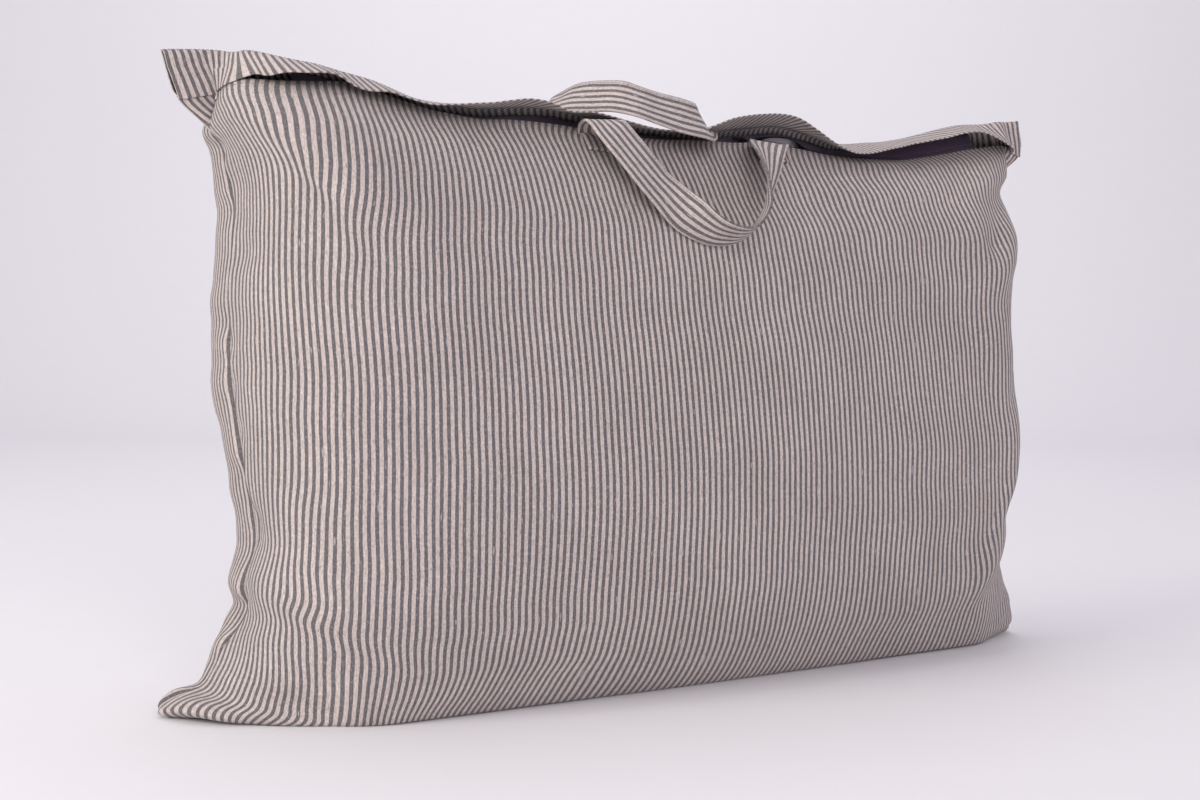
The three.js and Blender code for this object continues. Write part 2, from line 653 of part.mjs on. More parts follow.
const slider = zipFrame(frontTape[2], backTape[0], SLIDER_AT);
const noseWidth = SLIDER_SIZE.depth * 0.7;
const body = roundedBlock(SLIDER_SIZE.length, noseWidth, SLIDER_SIZE.depth, SLIDER_SIZE.height);
addPiece("zip_slider", body.applyMatrix4(slider), 0x1c1b1e, 0.4, 0.8);
const pull = roundedBlock(PULL_SIZE.length, PULL_SIZE.width, PULL_SIZE.width, PULL_SIZE.thickness);
pull.translate(-PULL_SIZE.length / 2, 0, SLIDER_SIZE.height + SEAM_GAP);
addPiece("zip_pull", pull.applyMatrix4(slider), 0x1c1b1e, 0.4, 0.8);

addPiece("filling", fillingGeometry(), 0xf2f0ee, 1);

// The origin is on the floor under the middle of the whole.
const box = new THREE.Box3().setFromObject(group);
for (const mesh of group.children) {
  mesh.geometry.translate(-(box.min.x + box.max.x) / 2, -(box.min.y + box.max.y) / 2, -box.min.z);
}

export default group;
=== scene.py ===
import math

import bmesh
import bpy
import numpy as np
from bpy.props import FloatProperty, FloatVectorProperty, PointerProperty
from bpy.types import Operator, Panel, PropertyGroup
from mathutils import Matrix, Vector


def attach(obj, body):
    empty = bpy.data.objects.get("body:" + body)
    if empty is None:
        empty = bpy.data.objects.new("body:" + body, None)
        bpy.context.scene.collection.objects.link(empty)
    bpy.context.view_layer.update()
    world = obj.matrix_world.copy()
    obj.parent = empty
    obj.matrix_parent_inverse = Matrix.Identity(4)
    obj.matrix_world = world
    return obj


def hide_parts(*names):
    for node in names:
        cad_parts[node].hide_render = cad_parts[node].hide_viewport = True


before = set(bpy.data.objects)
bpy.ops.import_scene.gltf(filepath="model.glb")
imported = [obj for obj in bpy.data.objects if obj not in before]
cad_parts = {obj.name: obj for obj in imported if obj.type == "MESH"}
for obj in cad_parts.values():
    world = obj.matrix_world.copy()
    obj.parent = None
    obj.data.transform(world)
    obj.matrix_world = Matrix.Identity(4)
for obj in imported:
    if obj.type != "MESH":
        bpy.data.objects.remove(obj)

bl_info = {
    "name": "Striped linen storage bag",
    "version": (1, 0, 0),
    "blender": (4, 5, 0),
    "location": "View3D > Sidebar > Storage Bag",
    "description": "Builds a zipped storage bag of striped linen on its packed solids",
    "category": "Object",
}

# The sizes below are in millimetres. X runs along the bag, the zip side faces -Y, up is Z.
# "Across" is measured on the flat cloth from the left side seam, "up" from the bottom seam.
MM = 0.001
MIDDLE = np.array([0.9, -10.6, 0.0])  # middle of the whole bag's floor plan, in these sizes
FLOOR_GAP = 0.1  # lowest that the cloth lies

BAG_WIDTH = 900.0  # flat, between the side seams
BAG_HEIGHT = 590.0  # flat, bottom seam to the top fold of the back panel
FLAP_DEPTH = 38.0
FRONT_HEIGHT = 556.0  # flat, bottom seam to the folded zip edge
CLOTH = 2.0  # room that the solids give the cloth
SEAM_GAP = 0.3
REPEAT = 6.0  # one dark and one light stripe
HEM = 14.0  # cloth turned in along the zip edge
FLAP_LINING = 32.0  # doubled cloth under the flap
HEM_ROOM = 1.1  # from a panel to its turned-in edge
EDGE_STITCHES = (46.0, 852.0, 5.0)  # across, from and to, and how far below the zip edge
FOLD_STITCHES = (4.0, 896.0, 3.0)  # across, from and to, and how far past the top fold

TAPE_THICKNESS = 1.2  # of the solids
TAPE_CLOTH = 0.7 * TAPE_THICKNESS  # of the tapes built here
TAPE_SEWN = 8.0  # width under the cloth
TAPE_FRONT = 5.0  # free width
TAPE_BACK = 7.0
TAPE_ROOT = 584.0  # up the back panel
ZIP_START = 110.0
ZIP_END = 838.0
SLIDER_AT = 532.0
SLIDER_LIFT = 0.9
OPEN_END = 622.0  # across: the zip is open from the slider to here
OPEN_EASE = 28.0
TOOTH_REACH = (1.6, 1.2)  # from the tape's edge back onto it, and out past it

STRAP_WIDTH = 32.0
STRAP_THICKNESS = 2.4  # of the solids
STRAP_CLOTH = 2.0  # of the straps built here
STRAP_ENDS = (-88.0, 88.0)  # x of both feet
STRAP_FOOT = 526.0  # up: the end of a foot
FOOT_STEP = 8.0

FILLING_SIDES = (190.0, 710.0)
FILLING_FOOT = 60.0
FILLING_TOP = 574.0
FILLING_THICKNESS = 12.0
FILLING_MARGIN = (6.0, 4.0, 2.0)  # kept clear of the solid's sides, foot and top
FILLING_ROUND = 14.0  # how far in from its edges the wadding is full
MOUTH_BULGE = np.array([0, -12, 7.5])  # how the wadding swells towards the open zip
MOUTH_EASE = 34.0
MOUTH_FOOT = (515.0, 50.0)  # up: where the swelling begins, and over what length

FLAP_STEP = FLAP_DEPTH / 7  # one row of the flap in the solids
FLAP_TURN = 1.2 * FLAP_STEP  # length over which the flap turns from the fold to its set
FLAP_END = 120.0  # from each side seam, the part of the flap that leads to its sewn end
SEWN_LEFT = (60.0, 16.0)  # across: where the flap's sewn left end lets go, and over what length
SEWN_RIGHT = (870.0, 18.0)
SEWN_LIFT = 1.9  # from the front panel's face to the flap's sewn edge
SEWN_BOW = (1.6, 4.2)  # how far the sewn ends swell forwards, and up at the fold
FOLD_STRIPES = 500.0  # up: from here the back's stripes begin to follow the top fold
FOLD_BELOW = (BAG_HEIGHT - FRONT_HEIGHT) / 3
EDGE_ZONE = 110.0  # below a panel's top edge, the part that follows the edge's own heights
ROUNDNESS = 2.6  # of the turn from a seam to the full depth; 2 is an ellipse
SIDE_BULGE = 0.07  # share of the depth by which the turn swells past the seam
EAR_PADDING = 1.4  # how far a panel stands out where an ear ends
EAR_EASE = 6.0  # width of ear at which it stands out in full
LEAN_REACH = 110.0  # from a side seam, over which the panels follow how far it lies back

# How fine the pieces are.
SECTION_POINTS = 90
CLOTH_COLUMNS = 241
CLOTH_ROWS = 141
FOLD_ROWS = 3  # in each third of the way from the zip edge's height to the top fold
FLAP_ROWS = 14
TURN_ROWS = 5
HEM_ROWS = 8
STRAP_LINES = 13
STRAP_STEPS = 200
FILLING_GRID = 90

# The cloth's unevenness: how high each kind stands, and its length across and up the cloth.
PUCKERS = (3.0, 48, 17)
SLACK = (1.2, 150, 120)
GATHERS = (1.2, 15, 90)
WAVES = (0.15, 1.2)  # how high they stand everywhere, and beside the side seams as well
PUCKER_REACH = 55  # from a side seam
GATHER_REACH = 38  # below the top edge
CALM_REACH = 30  # below the top edge, where everything is flatter
SEAM_VALLEY = (2.2, 3.6)  # depth and half width
SEAM_JOIN = 6  # how far from a seam the panels are drawn together
SEAM_SWAY, SWAY_LENGTH, SWAY_REACH = 2.6, 36, 24
STRAP_WAVES = (0.5, 26, 1.5)  # how high, and how many along and across

# Stitches: the two ends and three rings of a thread, as shares of its length and radius.
STITCH_PROFILE = [(-0.5, 0.25), (-0.38, 0.85), (0.0, 1.0), (0.38, 0.85), (0.5, 0.25)]
STITCH_SIDES = 6
STITCH_SUNK = 0.7  # share of the radius by which a stitch's middle lies in the cloth


def clamp01(t):
    return np.clip(t, 0.0, 1.0)


def ease(t):
    t = clamp01(t)
    return t * t * (3 - 2 * t)


def mix(a, b, t):
    return a + (b - a) * t


def unit(vectors):
    return vectors / np.maximum(np.linalg.norm(vectors, axis=-1, keepdims=True), 1e-9)


def run_along(line):
    """Length along a line at each of its points."""
    return np.concatenate([[0], np.cumsum(np.linalg.norm(np.diff(line, axis=0), axis=1))])


def on_line(wanted, run, line):
    """Values of a line's columns at the wanted lengths along it."""
    return np.stack([np.interp(wanted, run, column) for column in line.T], axis=-1)


def table(columns, rows):
    """A short table whose rows are joined by smooth curves; its columns are read by name.

    A row that stops early has 0 in the columns that it leaves out.
    """
    keys = np.array([row[0] for row in rows], float)
    values = np.array([[*row[1:], *[0] * (len(columns) - len(row))] for row in rows], float)
    steps = np.diff(keys)[:, None]
    chords = np.diff(values, axis=0) / steps
    inner = (chords[:-1] * steps[1:] + chords[1:] * steps[:-1]) / (steps[:-1] + steps[1:])
    slopes = np.vstack([chords[:1], inner, chords[-1:]])

    def at(key):
        place = np.clip(np.asarray(key, float), keys[0], keys[-1])
        i = np.clip(np.searchsorted(keys, place, side="right") - 1, 0, len(keys) - 2)
        step = steps[i, 0]
        t = ((place - keys[i]) / step)[..., None]
        step = step[..., None]
        found = (
            (2 * t**3 - 3 * t**2 + 1) * values[i]
            + (t**3 - 2 * t**2 + t) * slopes[i] * step
            + (3 * t**2 - 2 * t**3) * values[i + 1]
            + (t**3 - t**2) * slopes[i + 1] * step
        )
        return {name: found[..., c] for c, name in enumerate(columns[1:])}

    return at


def curve(points):
    """A table with one column besides its key, read as a plain function."""
    at = table(["key", "value"], points)
    return lambda key: at(key)["value"]


# The side seams, from the bottom corners to the tips of the upper ears.
# up: along the seam; X: where it stands; Height: above the floor; Y: how far it lies back;
# Ear: how far in from the seam the two panels still lie flat on each other.
SIDE_SEAMS = table([
    "up", "leftX", "rightX", "leftHeight", "rightHeight", "leftY", "rightY", "leftEar", "rightEar",
], [
    [0, -423, 430, 3, 3, 8, 12],
    [20, -418, 425, 9, 9, 12, 12],
    [38, -403, 419, 15, 18, 14, 10],
    [52, -386, 413, 20, 28, 12, 8],
    [66, -377, 406, 33, 40, 9, 5],
    [82, -370, 394, 49, 54, 6, 3],
    [98, -361, 381, 63, 70, 3],
    [114, -354, 370, 77, 86],
    [140, -357, 366, 96, 108],
    [184, -348, 357, 131, 146],
    [236, -355, 369, 180, 192],
    [306, -367, 366, 250, 255],
    [374, -369, 365, 313, 318],
    [452, -366, 379, 392, 390],
    [492, -375, 370, 428, 426],
    [520, -390, 394, 444, 444, 0, 0, 6, 4],
    [556, -411, 424, 464, 470, 0, 0, 34, 24],
    [590, -422, 421, 498, 500, 0, 0, 50, 36],
])

# Level sections. height: at the crown; left, middle, right: how far the cloth stands out from
# the plane of the seams; leftRun, rightRun: from each seam to the full depth.
SECTION = ["up", "height", "left", "middle", "right", "leftRun", "rightRun"]
FRONT_SECTIONS = table(SECTION, [
    [0, 0, 0, 0, 0, 70, 60],
    [24, 0, 54, 25, 16, 74, 62],
    [48, 0, 82, 48, 28, 84, 64],
    [74, 2, 98, 71, 40, 100, 66],
    [114, 36, 110, 98, 66, 120, 68],
    [162, 80, 122, 118, 86, 140, 62],
    [282, 200, 126, 122, 84, 165, 40],
    [382, 300, 126, 113, 84, 145, 80],
    [442, 359, 123, 102, 80, 105, 110],
    [486, 400, 118, 88, 68, 78, 130],
    [519, 430, 104, 74, 46, 62, 138],
    [542, 448, 76, 61, 20, 54, 136],
    [556, 455, 52, 54, 2, 50, 132],
])
BACK_SECTIONS = table(SECTION, [
    [0, 0, 0, 0, 0, 100, 60],
    [24, 0, 20, 24, 18, 105, 62],
    [48, 0, 38, 48, 36, 110, 66],
    [70, 2, 54, 68, 50, 115, 70],
    [110, 36, 76, 92, 74, 125, 80],
    [158, 80, 88, 112, 94, 135, 90],
    [278, 200, 98, 116, 104, 145, 100],
    [376, 300, 100, 108, 100, 135, 105],
    [434, 359, 92, 96, 90, 115, 110],
    [480, 400, 70, 76, 74, 90, 115],
    [518, 430, 38, 44, 52, 70, 120],
    [556, 452, -4, 2, 28, 60, 120],
    [590, 466, -47, -45, 6, 56, 120],
])

# Heights of the front panel's zip edge and of the top fold, at places across.
ZIP_EDGE = curve([
    (0, 464), (45, 472), (70, 474), (100, 473), (130, 474), (150, 475), (172, 471), (190, 466),
    (206, 462), (240, 456), (260, 454), (290, 455), (330, 454), (380, 450), (420, 448),
    (480, 450), (520, 451), (568, 454), (595, 451), (650, 448), (700, 448), (725, 449),
    (752, 451), (777, 455), (801, 459), (827, 464), (852, 468), (878, 471), (900, 464),
])
TOP_FOLD = curve([
    (0, 497), (15, 498), (30, 499), (50, 499), (70, 496), (90, 493), (105, 490), (135, 486),
    (150, 483), (175, 478), (192, 473), (210, 467), (245, 463), (260, 462), (280, 463),
    (300, 465), (335, 466), (350, 464), (407, 458), (450, 457), (490, 457), (505, 459),
    (550, 465), (575, 468), (600, 467), (625, 464), (655, 459), (675, 460), (695, 462),
    (725, 465), (755, 470), (780, 476), (805, 482), (825, 486), (850, 488), (875, 492),
    (900, 497),
])

# How the flap sets, at places across: degrees above the level, towards the front.
FLAP_SET = curve([
    (0, -86), (15, -82), (30, -68), (45, -49), (58, -39), (70, -36), (86, -35), (98, -27),
    (112, -22), (138, -18), (150, -24), (160, -25), (178, -19), (193, -17), (228, -8), (262, 1),
    (297, 5), (316, 0), (331, -8), (355, -3), (384, -4), (428, -8), (468, -2), (482, 6),
    (502, 14), (526, 16), (550, 15), (575, 8), (599, -3), (628, -15), (648, -17), (668, -17),
    (752, -8), (777, -10), (824, -15), (862, -40), (882, -66), (900, -86),
])

# How far the front's stripes have slid towards +X, in millimetres: a row for each height on the
# flat cloth, and a column for each of these places between the side seams.
SLIDE_AT = [0, 40, 84, 130, 204, 305, 377, 497, 586, 685, 740, 798, 900]
FRONT_SLIDE = table(["up", "seam", *"abcdefghijk", "end"], [
    [0, 0, 10, 7, 3, -4, -6, 0, 10, 15, 20, 24, 24, 10],
    [60, 0, 12, 7, 4, -10, -14, -4, 12, 14, 22, 28, 32, 12],
    [80, 0, 10, 3, 2, -14, -16, -4, 12, 14, 22, 29, 34, 12],
    [100, -10, -8, -9, -5, -10, -14, -2, 12, 13, 22, 29, 34, 12],
    [122, -22, -14, -17, -10, -9, -7, -1, 10, 11, 23, 28, 34, 12],
    [146, -26, -16, -10, -8, -6, -4, -1, 5, 6, 14, 20, 30, 10],
    [175, -28, -18, -17, -12, -11, -10, -6, -1, -1, 6, 10, 18, 6],
    [205, -28, -18, -16, -13, -12, -11, -9, -7, -7, 0, 1, 3, 2],
    [240, -22, -12, -9, -10, -10, -9, -8, -9, -9, -7, -6, -6, -4],
    [280, -12, -1, -2, -4, -4, -4, -3, -3, -4, 0, -1, 0, 0],
    [320, -6, 6, 4, 1, 0, 0, 0, 0, 0, 0, 0, 0, 0],
    [370, -3, 9, 4, 0, 0, 0, 1, 1, 3, 2, 3, 5, 3],
    [410, -5, 7, 1, -2, -3, -2, -1, -3, -2, -1, -1, -1, 0],
    [442, -3, 9, 2, -2, -3, -1, 0, -3, -4, -1, -2, 3, 2],
    [477, 0, 12, 9, 9, 9, 13, 12, 9, 6, 15, 15, 12, 6],
    [497, -3, 8, 5, 12, 16, 17, 16, 11, 8, 20, 21, 12, 6],
    [519, -6, 3, 4, 14, 18, 13, 10, 4, 2, 12, 18, 12, 6],
    [540, -8, -5, 0, 10, 9, 2, 2, -4, -2, 15, 20, 16, 8],
    [556, -8, -8, -3, 6, 2, -4, 0, -8, -3, 16, 20, 14, 6],
])

# Main folds, as soft troughs between two places on the flat cloth: from across, from up,
# to across, to up, half width, and how deep, negative where the cloth stands up.
FRONT_FOLDS = [
    (36, 512, 120, 470, 15, 7), (60, 470, 130, 420, 18, -4), (20, 22, 60, 26, 14, -5),
    (880, 500, 800, 452, 14, 9), (850, 455, 800, 420, 18, -4), (845, 530, 790, 490, 18, -4),
    (20, 128, 110, 92, 20, 6), (24, 56, 120, 70, 13, 8), (860, 110, 780, 130, 24, 3),
    (20, 330, 80, 350, 20, 4), (820, 300, 880, 316, 20, 4),
]
BACK_FOLDS = [
    (60, 520, 150, 440, 18, 6), (14, 490, 50, 445, 22, -20), (866, 500, 750, 420, 22, 7),
    (24, 110, 130, 130, 22, 6), (876, 110, 770, 130, 22, 6), (20, 320, 96, 300, 22, 4),
    (880, 300, 800, 320, 22, 4),
]

# The handles where they hang free: x, y, z of the middle line at each station, and the x, y, z of
# the way across to the other long edge.
FRONT_HANDLE = [
    (-91, -71, 452, 1, 0.08, 0), (-95, -80, 457, 1, 0.05, 0), (-97, -90, 457, 1, 0.02, 0),
    (-92, -97, 450, 1, 0.02, 0), (-80, -101, 436, 0.97, 0.12, 0.05),
    (-54, -106, 407, 0.93, 0.15, 0.3), (-29, -114, 384, 0.56, -0.5, 0.55),
    (-6, -122, 371, 0.1, -0.85, 0.5), (16, -127, 371, -0.2, -0.93, 0.3),
    (32, -125, 387, -0.35, -0.93, 0.1), (44, -115, 408, -0.6, -0.8, 0),
    (54, -101, 430, -0.85, -0.5, 0), (62, -88, 444, -1, -0.1, 0), (72, -76, 450, -1, -0.1, 0),
    (81, -64, 450, -1, -0.1, 0),
]
BACK_HANDLE = [
    (-92, 40, 456, 0.95, 0, 0.2), (-100, 14, 472, 0.8, 0, 0.6), (-103, -20, 477, 0.7, 0.05, 0.7),
    (-98, -42, 480, 0.6, 0.25, 0.75), (-87, -61, 480, 0.42, 0.42, 0.8),
    (-74, -77, 479, 0.28, 0.5, 0.82), (-61, -85, 475, 0.15, 0.53, 0.84),
    (-45, -86, 471, 0.15, 0.47, 0.87), (-31, -87, 468, 0.18, 0.42, 0.88),
    (-16, -88, 465, 0.15, 0.42, 0.88), (-3, -86, 463, 0.08, 0.5, 0.82),
    (8, -75, 462, 0, 0.7, 0.55), (15, -58, 463, -0.3, 0.82, 0.3),
    (21, -40, 463, -0.72, 0.62, 0.14), (31, -24, 465, -0.8, 0.55, 0.1),
    (45, -6, 466, -0.72, 0.68, 0.08), (64, 14, 466, -0.75, 0.65, 0.05),
    (80, 30, 457, -0.95, 0.3, 0),
]


def side_turn(ear, run, depth):
    """Plan of the turn from a seam to the full depth: distance in from the seam, and depth."""
    angle = np.linspace(0, math.pi / 2, SECTION_POINTS + 1)
    sine, cosine = np.sin(angle), np.maximum(np.cos(angle), 0)
    start = EAR_PADDING * min(ear / EAR_EASE, 1)
    swell = SIDE_BULGE * depth * np.sin(math.pi * sine)
    inwards = ear + run * (1 - cosine ** (2 / ROUNDNESS)) - swell
    depths = start + (depth - start) * sine ** (2 / ROUNDNESS)
    plan = np.stack([inwards, depths], axis=1)
    if ear > 0:
        return np.vstack([[[0, 0], [ear / 2, start]], plan])
    return plan


class PanelCloth:
    """One panel of the bag: where each place on its flat cloth stands."""

    def __init__(self, side, sections, height, edge, folds):
        self.side, self.sections, self.height = side, sections, height
        self.edge, self.folds = edge, folds

    def level(self, up, across):
        """The panel's points at one height up the flat cloth, on its inner face."""
        row = {name: float(value) for name, value in self.sections(up).items()}
        seam = {name: float(value) for name, value in SIDE_SEAMS(up).items()}
        left_ear, right_ear = max(seam["leftEar"], 0), max(seam["rightEar"], 0)
        left = side_turn(left_ear, row["leftRun"], row["left"])
        right = side_turn(right_ear, row["rightRun"], row["right"])
        left[:, 0] += seam["leftX"]
        right[:, 0] = seam["rightX"] - right[:, 0]
        from_x = seam["leftX"] + left_ear + row["leftRun"]
        to_x = seam["rightX"] - right_ear - row["rightRun"]
        crown = row["middle"] - (row["left"] + row["right"]) / 2
        s = np.linspace(0, 1, SECTION_POINTS + 1)[1:-1]
        depths = mix(row["left"], row["right"], s) + crown * 4 * s * (1 - s)
        plan = np.vstack([left, np.stack([mix(from_x, to_x, s), depths], axis=1), right[::-1]])
        lengths = np.concatenate([[0], np.cumsum(np.hypot(*np.diff(plan, axis=0).T))])
        x, depth = on_line(across / BAG_WIDTH * lengths[-1], lengths, plan).T

        from_left = clamp01((x - seam["leftX"]) / (from_x - seam["leftX"]))
        from_right = clamp01((seam["rightX"] - x) / (seam["rightX"] - to_x))
        crowned = np.sin(np.minimum(from_left, from_right) * (math.pi / 2))
        at_left = across < BAG_WIDTH / 2

        def height_of(row, seam):
            sides = np.where(at_left, seam["leftHeight"], seam["rightHeight"])
            return mix(sides, row["height"], crowned)

        top = height_of(self.sections(self.height), SIDE_SEAMS(self.height))
        follow = clamp01((up - self.height + EDGE_ZONE) / EDGE_ZONE) ** 2
        height = height_of(row, seam) + (self.edge(across) - top) * follow
        lean = seam["leftY"] * (1 - ease((x - seam["leftX"]) / LEAN_REACH))
        lean = lean + seam["rightY"] * (1 - ease((seam["rightX"] - x) / LEAN_REACH))
        inward = self.fold_depth(across, up) * np.minimum(1, crowned * 2)
        y = lean + self.side * (depth - inward)
        return np.stack([x, y, np.maximum(height, CLOTH + SEAM_GAP / 2)], axis=1)

    def fold_depth(self, across, up):
        """How deep the main folds are at places along one height."""
        depth = np.zeros_like(across)
        for from_a, from_u, to_a, to_u, wide, deep in self.folds:
            run = math.hypot(to_a - from_a, to_u - from_u)
            run_a, run_u = (to_a - from_a) / run, (to_u - from_u) / run
            along = (across - from_a) * run_a + (up - from_u) * run_u
            away = (across - from_a) * run_u - (up - from_u) * run_a
            end = np.maximum(0, np.maximum(-along, along - run))
            depth += deep * np.exp(-((away / wide) ** 2) - (end / wide) ** 2)
        return depth


FRONT = PanelCloth(-1, FRONT_SECTIONS, FRONT_HEIGHT, ZIP_EDGE, FRONT_FOLDS)
BACK = PanelCloth(1, BACK_SECTIONS, BAG_HEIGHT, TOP_FOLD, BACK_FOLDS)


def slide(across, ups):
    """How far the front's stripes have slid at each place of a grid."""
    rows = []
    for up in ups:
        found = FRONT_SLIDE(min(up, FRONT_HEIGHT))
        rows.append(curve(list(zip(SLIDE_AT, found.values())))(across))
    return np.array(rows)


def grid_normals(points, side):
    """Outward normals of a grid whose rows run upwards and columns along +X."""
    return unit(np.cross(np.gradient(points, axis=1), np.gradient(points, axis=0)) * -side)


def flap_points(across, fold):
    """Carries the back panel's cloth over the top fold to the flap's free edge."""
    below = BACK.level(BAG_HEIGHT - FOLD_BELOW, across)
    rising = np.arctan2(fold[:, 2] - below[:, 2], below[:, 1] - fold[:, 1])
    angle_set = np.radians(FLAP_SET(across))
    step = FLAP_DEPTH / FLAP_ROWS
    place, rows = fold, []
    for k in range(FLAP_ROWS):
        angle = mix(rising, angle_set, ease((k * step + FLAP_STEP / 2) / FLAP_TURN))
        way = np.stack([np.zeros_like(angle), -np.cos(angle), np.sin(angle)], axis=1)
        place = place + way * step
        rows.append(place)
    return np.stack(rows)


def turned_hem(points, normals, depth):
    """Rows that carry a sheet's last row round a tight edge and back along its inner side."""
    edge, out = points[-1], normals[-1]
    ahead = unit(edge - points[-2])
    radius = HEM_ROOM / 2
    made = []
    for k in range(1, TURN_ROWS + 1):
        angle = math.pi * k / TURN_ROWS
        made.append(edge + ahead * radius * math.sin(angle) - out * radius * (1 - math.cos(angle)))
    spacing = np.linalg.norm(edge - points[-2], axis=1).mean()
    for k in range(1, HEM_ROWS + 1):
        row = len(points) - (1 + k * depth / HEM_ROWS / spacing)
        low = int(math.floor(row))
        made.append(mix(points[low], points[low + 1], row - low) - out * HEM_ROOM)
    return np.stack(made)


def value_noise(u, v, seed):
    """Smooth noise from -1 to 1 with cells of one unit, the same for the same seed."""
    rng = np.random.default_rng(seed)
    lattice = rng.uniform(-1, 1, (64, 64))
    iu, iv = np.floor(u).astype(int), np.floor(v).astype(int)
    fu, fv = ease(u - iu), ease(v - iv)

    def corner(a, b):
        return lattice[(iu + a) % 64, (iv + b) % 64]

    return mix(mix(corner(0, 0), corner(1, 0), fu), mix(corner(0, 1), corner(1, 1), fu), fv)


def uneven(kind, across, up, seed):
    high, wide, tall = kind
    return value_noise(across / wide, up / tall, seed) * high


def ruffles(panel, across, up, strength):
    """How far the cloth stands out of its main form: seam puckers, gathers and slack."""
    seed = 10 + panel.side
    from_seam = np.minimum(across, BAG_WIDTH - across)
    by_seam = np.exp(-from_seam / PUCKER_REACH) * ease(from_seam / 8)
    puckers = uneven(PUCKERS, from_seam, up, seed) * by_seam
    swing = WAVES[0] + WAVES[1] * by_seam
    waves = value_noise(across / 90 + up / 260, up / 34, seed + 1) * swing
    slack = uneven(SLACK, across, up, seed + 2)
    near_edge = np.exp(-np.maximum(panel.height - up, 0) / GATHER_REACH)
    gathers = uneven(GATHERS, across, up, seed + 3) * near_edge
    valley = -SEAM_VALLEY[0] * np.exp(-((from_seam / SEAM_VALLEY[1]) ** 2))
    return strength * (puckers + waves + slack + gathers) + valley


def soft_spread(count):
    """Shares from 0 to 1, closer together near both ends."""
    s = np.linspace(0, 1, count)
    return s - 0.08 * np.sin(2 * math.pi * s)


class Sheet:
    """A panel's outer face as a fine grid, which the pieces sewn on it are placed by."""

    def __init__(self, panel, strength):
        self.panel = panel
        self.across = BAG_WIDTH * soft_spread(CLOTH_COLUMNS)
        ups = list(FRONT_HEIGHT * soft_spread(CLOTH_ROWS))
        if panel is BACK:
            rows = range(1, 3 * FOLD_ROWS + 1)
            ups += [FRONT_HEIGHT + FOLD_BELOW * k / FOLD_ROWS for k in rows]
        base = np.stack([panel.level(up, self.across) for up in ups])
        if panel is BACK:
            base = np.concatenate([base, flap_points(self.across, base[-1])])
            ups += [BAG_HEIGHT + FLAP_DEPTH * (k + 1) / FLAP_ROWS for k in range(FLAP_ROWS)]
        self.ups = np.array(ups)
        grid_a, grid_u = np.meshgrid(self.across, self.ups)
        calm = 1 - ease((grid_u - panel.height + CALM_REACH) / CALM_REACH) * 0.8
        rise = ruffles(panel, grid_a, grid_u, strength) * calm
        self.points = base + grid_normals(base, panel.side) * (CLOTH + rise)[..., None]
        self.points[..., 2] = np.maximum(self.points[..., 2], FLOOR_GAP)
        self.normals = grid_normals(self.points, panel.side)

    def row_below(self, up):
        return int(np.clip(np.searchsorted(self.ups, up) - 1, 0, len(self.ups) - 2))

    def at(self, across, up):
        """Place and way out on the outer face."""
        j = self.row_below(up)
        t = (up - self.ups[j]) / (self.ups[j + 1] - self.ups[j])
        place, out = (
            mix(on_line(across, self.across, grid[j]), on_line(across, self.across, grid[j + 1]), t)
            for grid in (self.points, self.normals)
        )
        return place, unit(out)

    def across_at(self, x, up):
        """Place across of the outer face's point at x, at one height up the cloth."""
        return float(np.interp(x, self.points[self.row_below(up), :, 0], self.across))


def close_seams(front, back):
    """Joins the two panels' edges along the bottom and side seams, which sway a little."""
    rows = len(front.ups)
    far = np.minimum(front.across, BAG_WIDTH - front.across)[None, :]
    for column in (0, -1):
        side = (front.across < BAG_WIDTH / 2) == (column == 0)
        seam = (front.points[:, column] + back.points[:rows, column]) / 2
        noise = value_noise(front.ups / SWAY_LENGTH, np.full(rows, float(column)), 21)
        sway = noise * ease(front.ups / 60) * SEAM_SWAY
        for sheet in (front, back):
            near = (np.exp(-((far / SEAM_JOIN) ** 2)) * side)[..., None]
            wide = (np.exp(-((far / SWAY_REACH) ** 2)) * side) * sway[:, None]
            sheet.points[:rows] += near * (seam - sheet.points[:rows, column])[:, None]
            sheet.points[:rows, :, 1] += wide
    foot = (front.points[0] + back.points[0]) / 2
    near = np.exp(-((front.ups / SEAM_JOIN) ** 2))[:, None, None]
    for sheet in (front, back):
        sheet.points[:rows] += near * (foot - sheet.points[0])
        sheet.points[..., 2] = np.maximum(sheet.points[..., 2], FLOOR_GAP)


def sew_flap_ends(front, back):
    """Lays the two ends of the flap down on the front panel, where they are sewn."""
    left, right = (ease((back.across - place) / over) for place, over in (SEWN_LEFT, SEWN_RIGHT))
    held = (1 - left + right)[:, None]
    place, out = front.at(back.across, FRONT_HEIGHT - 3)
    target = place + out * SEWN_LIFT
    fold = back.points[-1 - FLAP_ROWS]
    for k in range(1, FLAP_ROWS + 1):
        share = k / FLAP_ROWS
        down = mix(fold, target, share)
        down[:, 1] -= SEWN_BOW[0] * math.sin(math.pi * share)
        down[:, 2] += SEWN_BOW[1] * math.sin(math.pi * min(share * 3, 1))
        row = k - 1 - FLAP_ROWS
        back.points[row] = mix(back.points[row], down, held)


def along_fold(points, across):
    """Where each column is on the cloth along the top fold, by its length near both ends."""
    lengths = run_along(points)
    left, right = np.searchsorted(across, (FLAP_END, BAG_WIDTH - FLAP_END))
    found = across.copy()
    found[:left] = across[left] + lengths[:left] - lengths[left]
    found[right:] = across[right] + lengths[right:] - lengths[right]
    return found


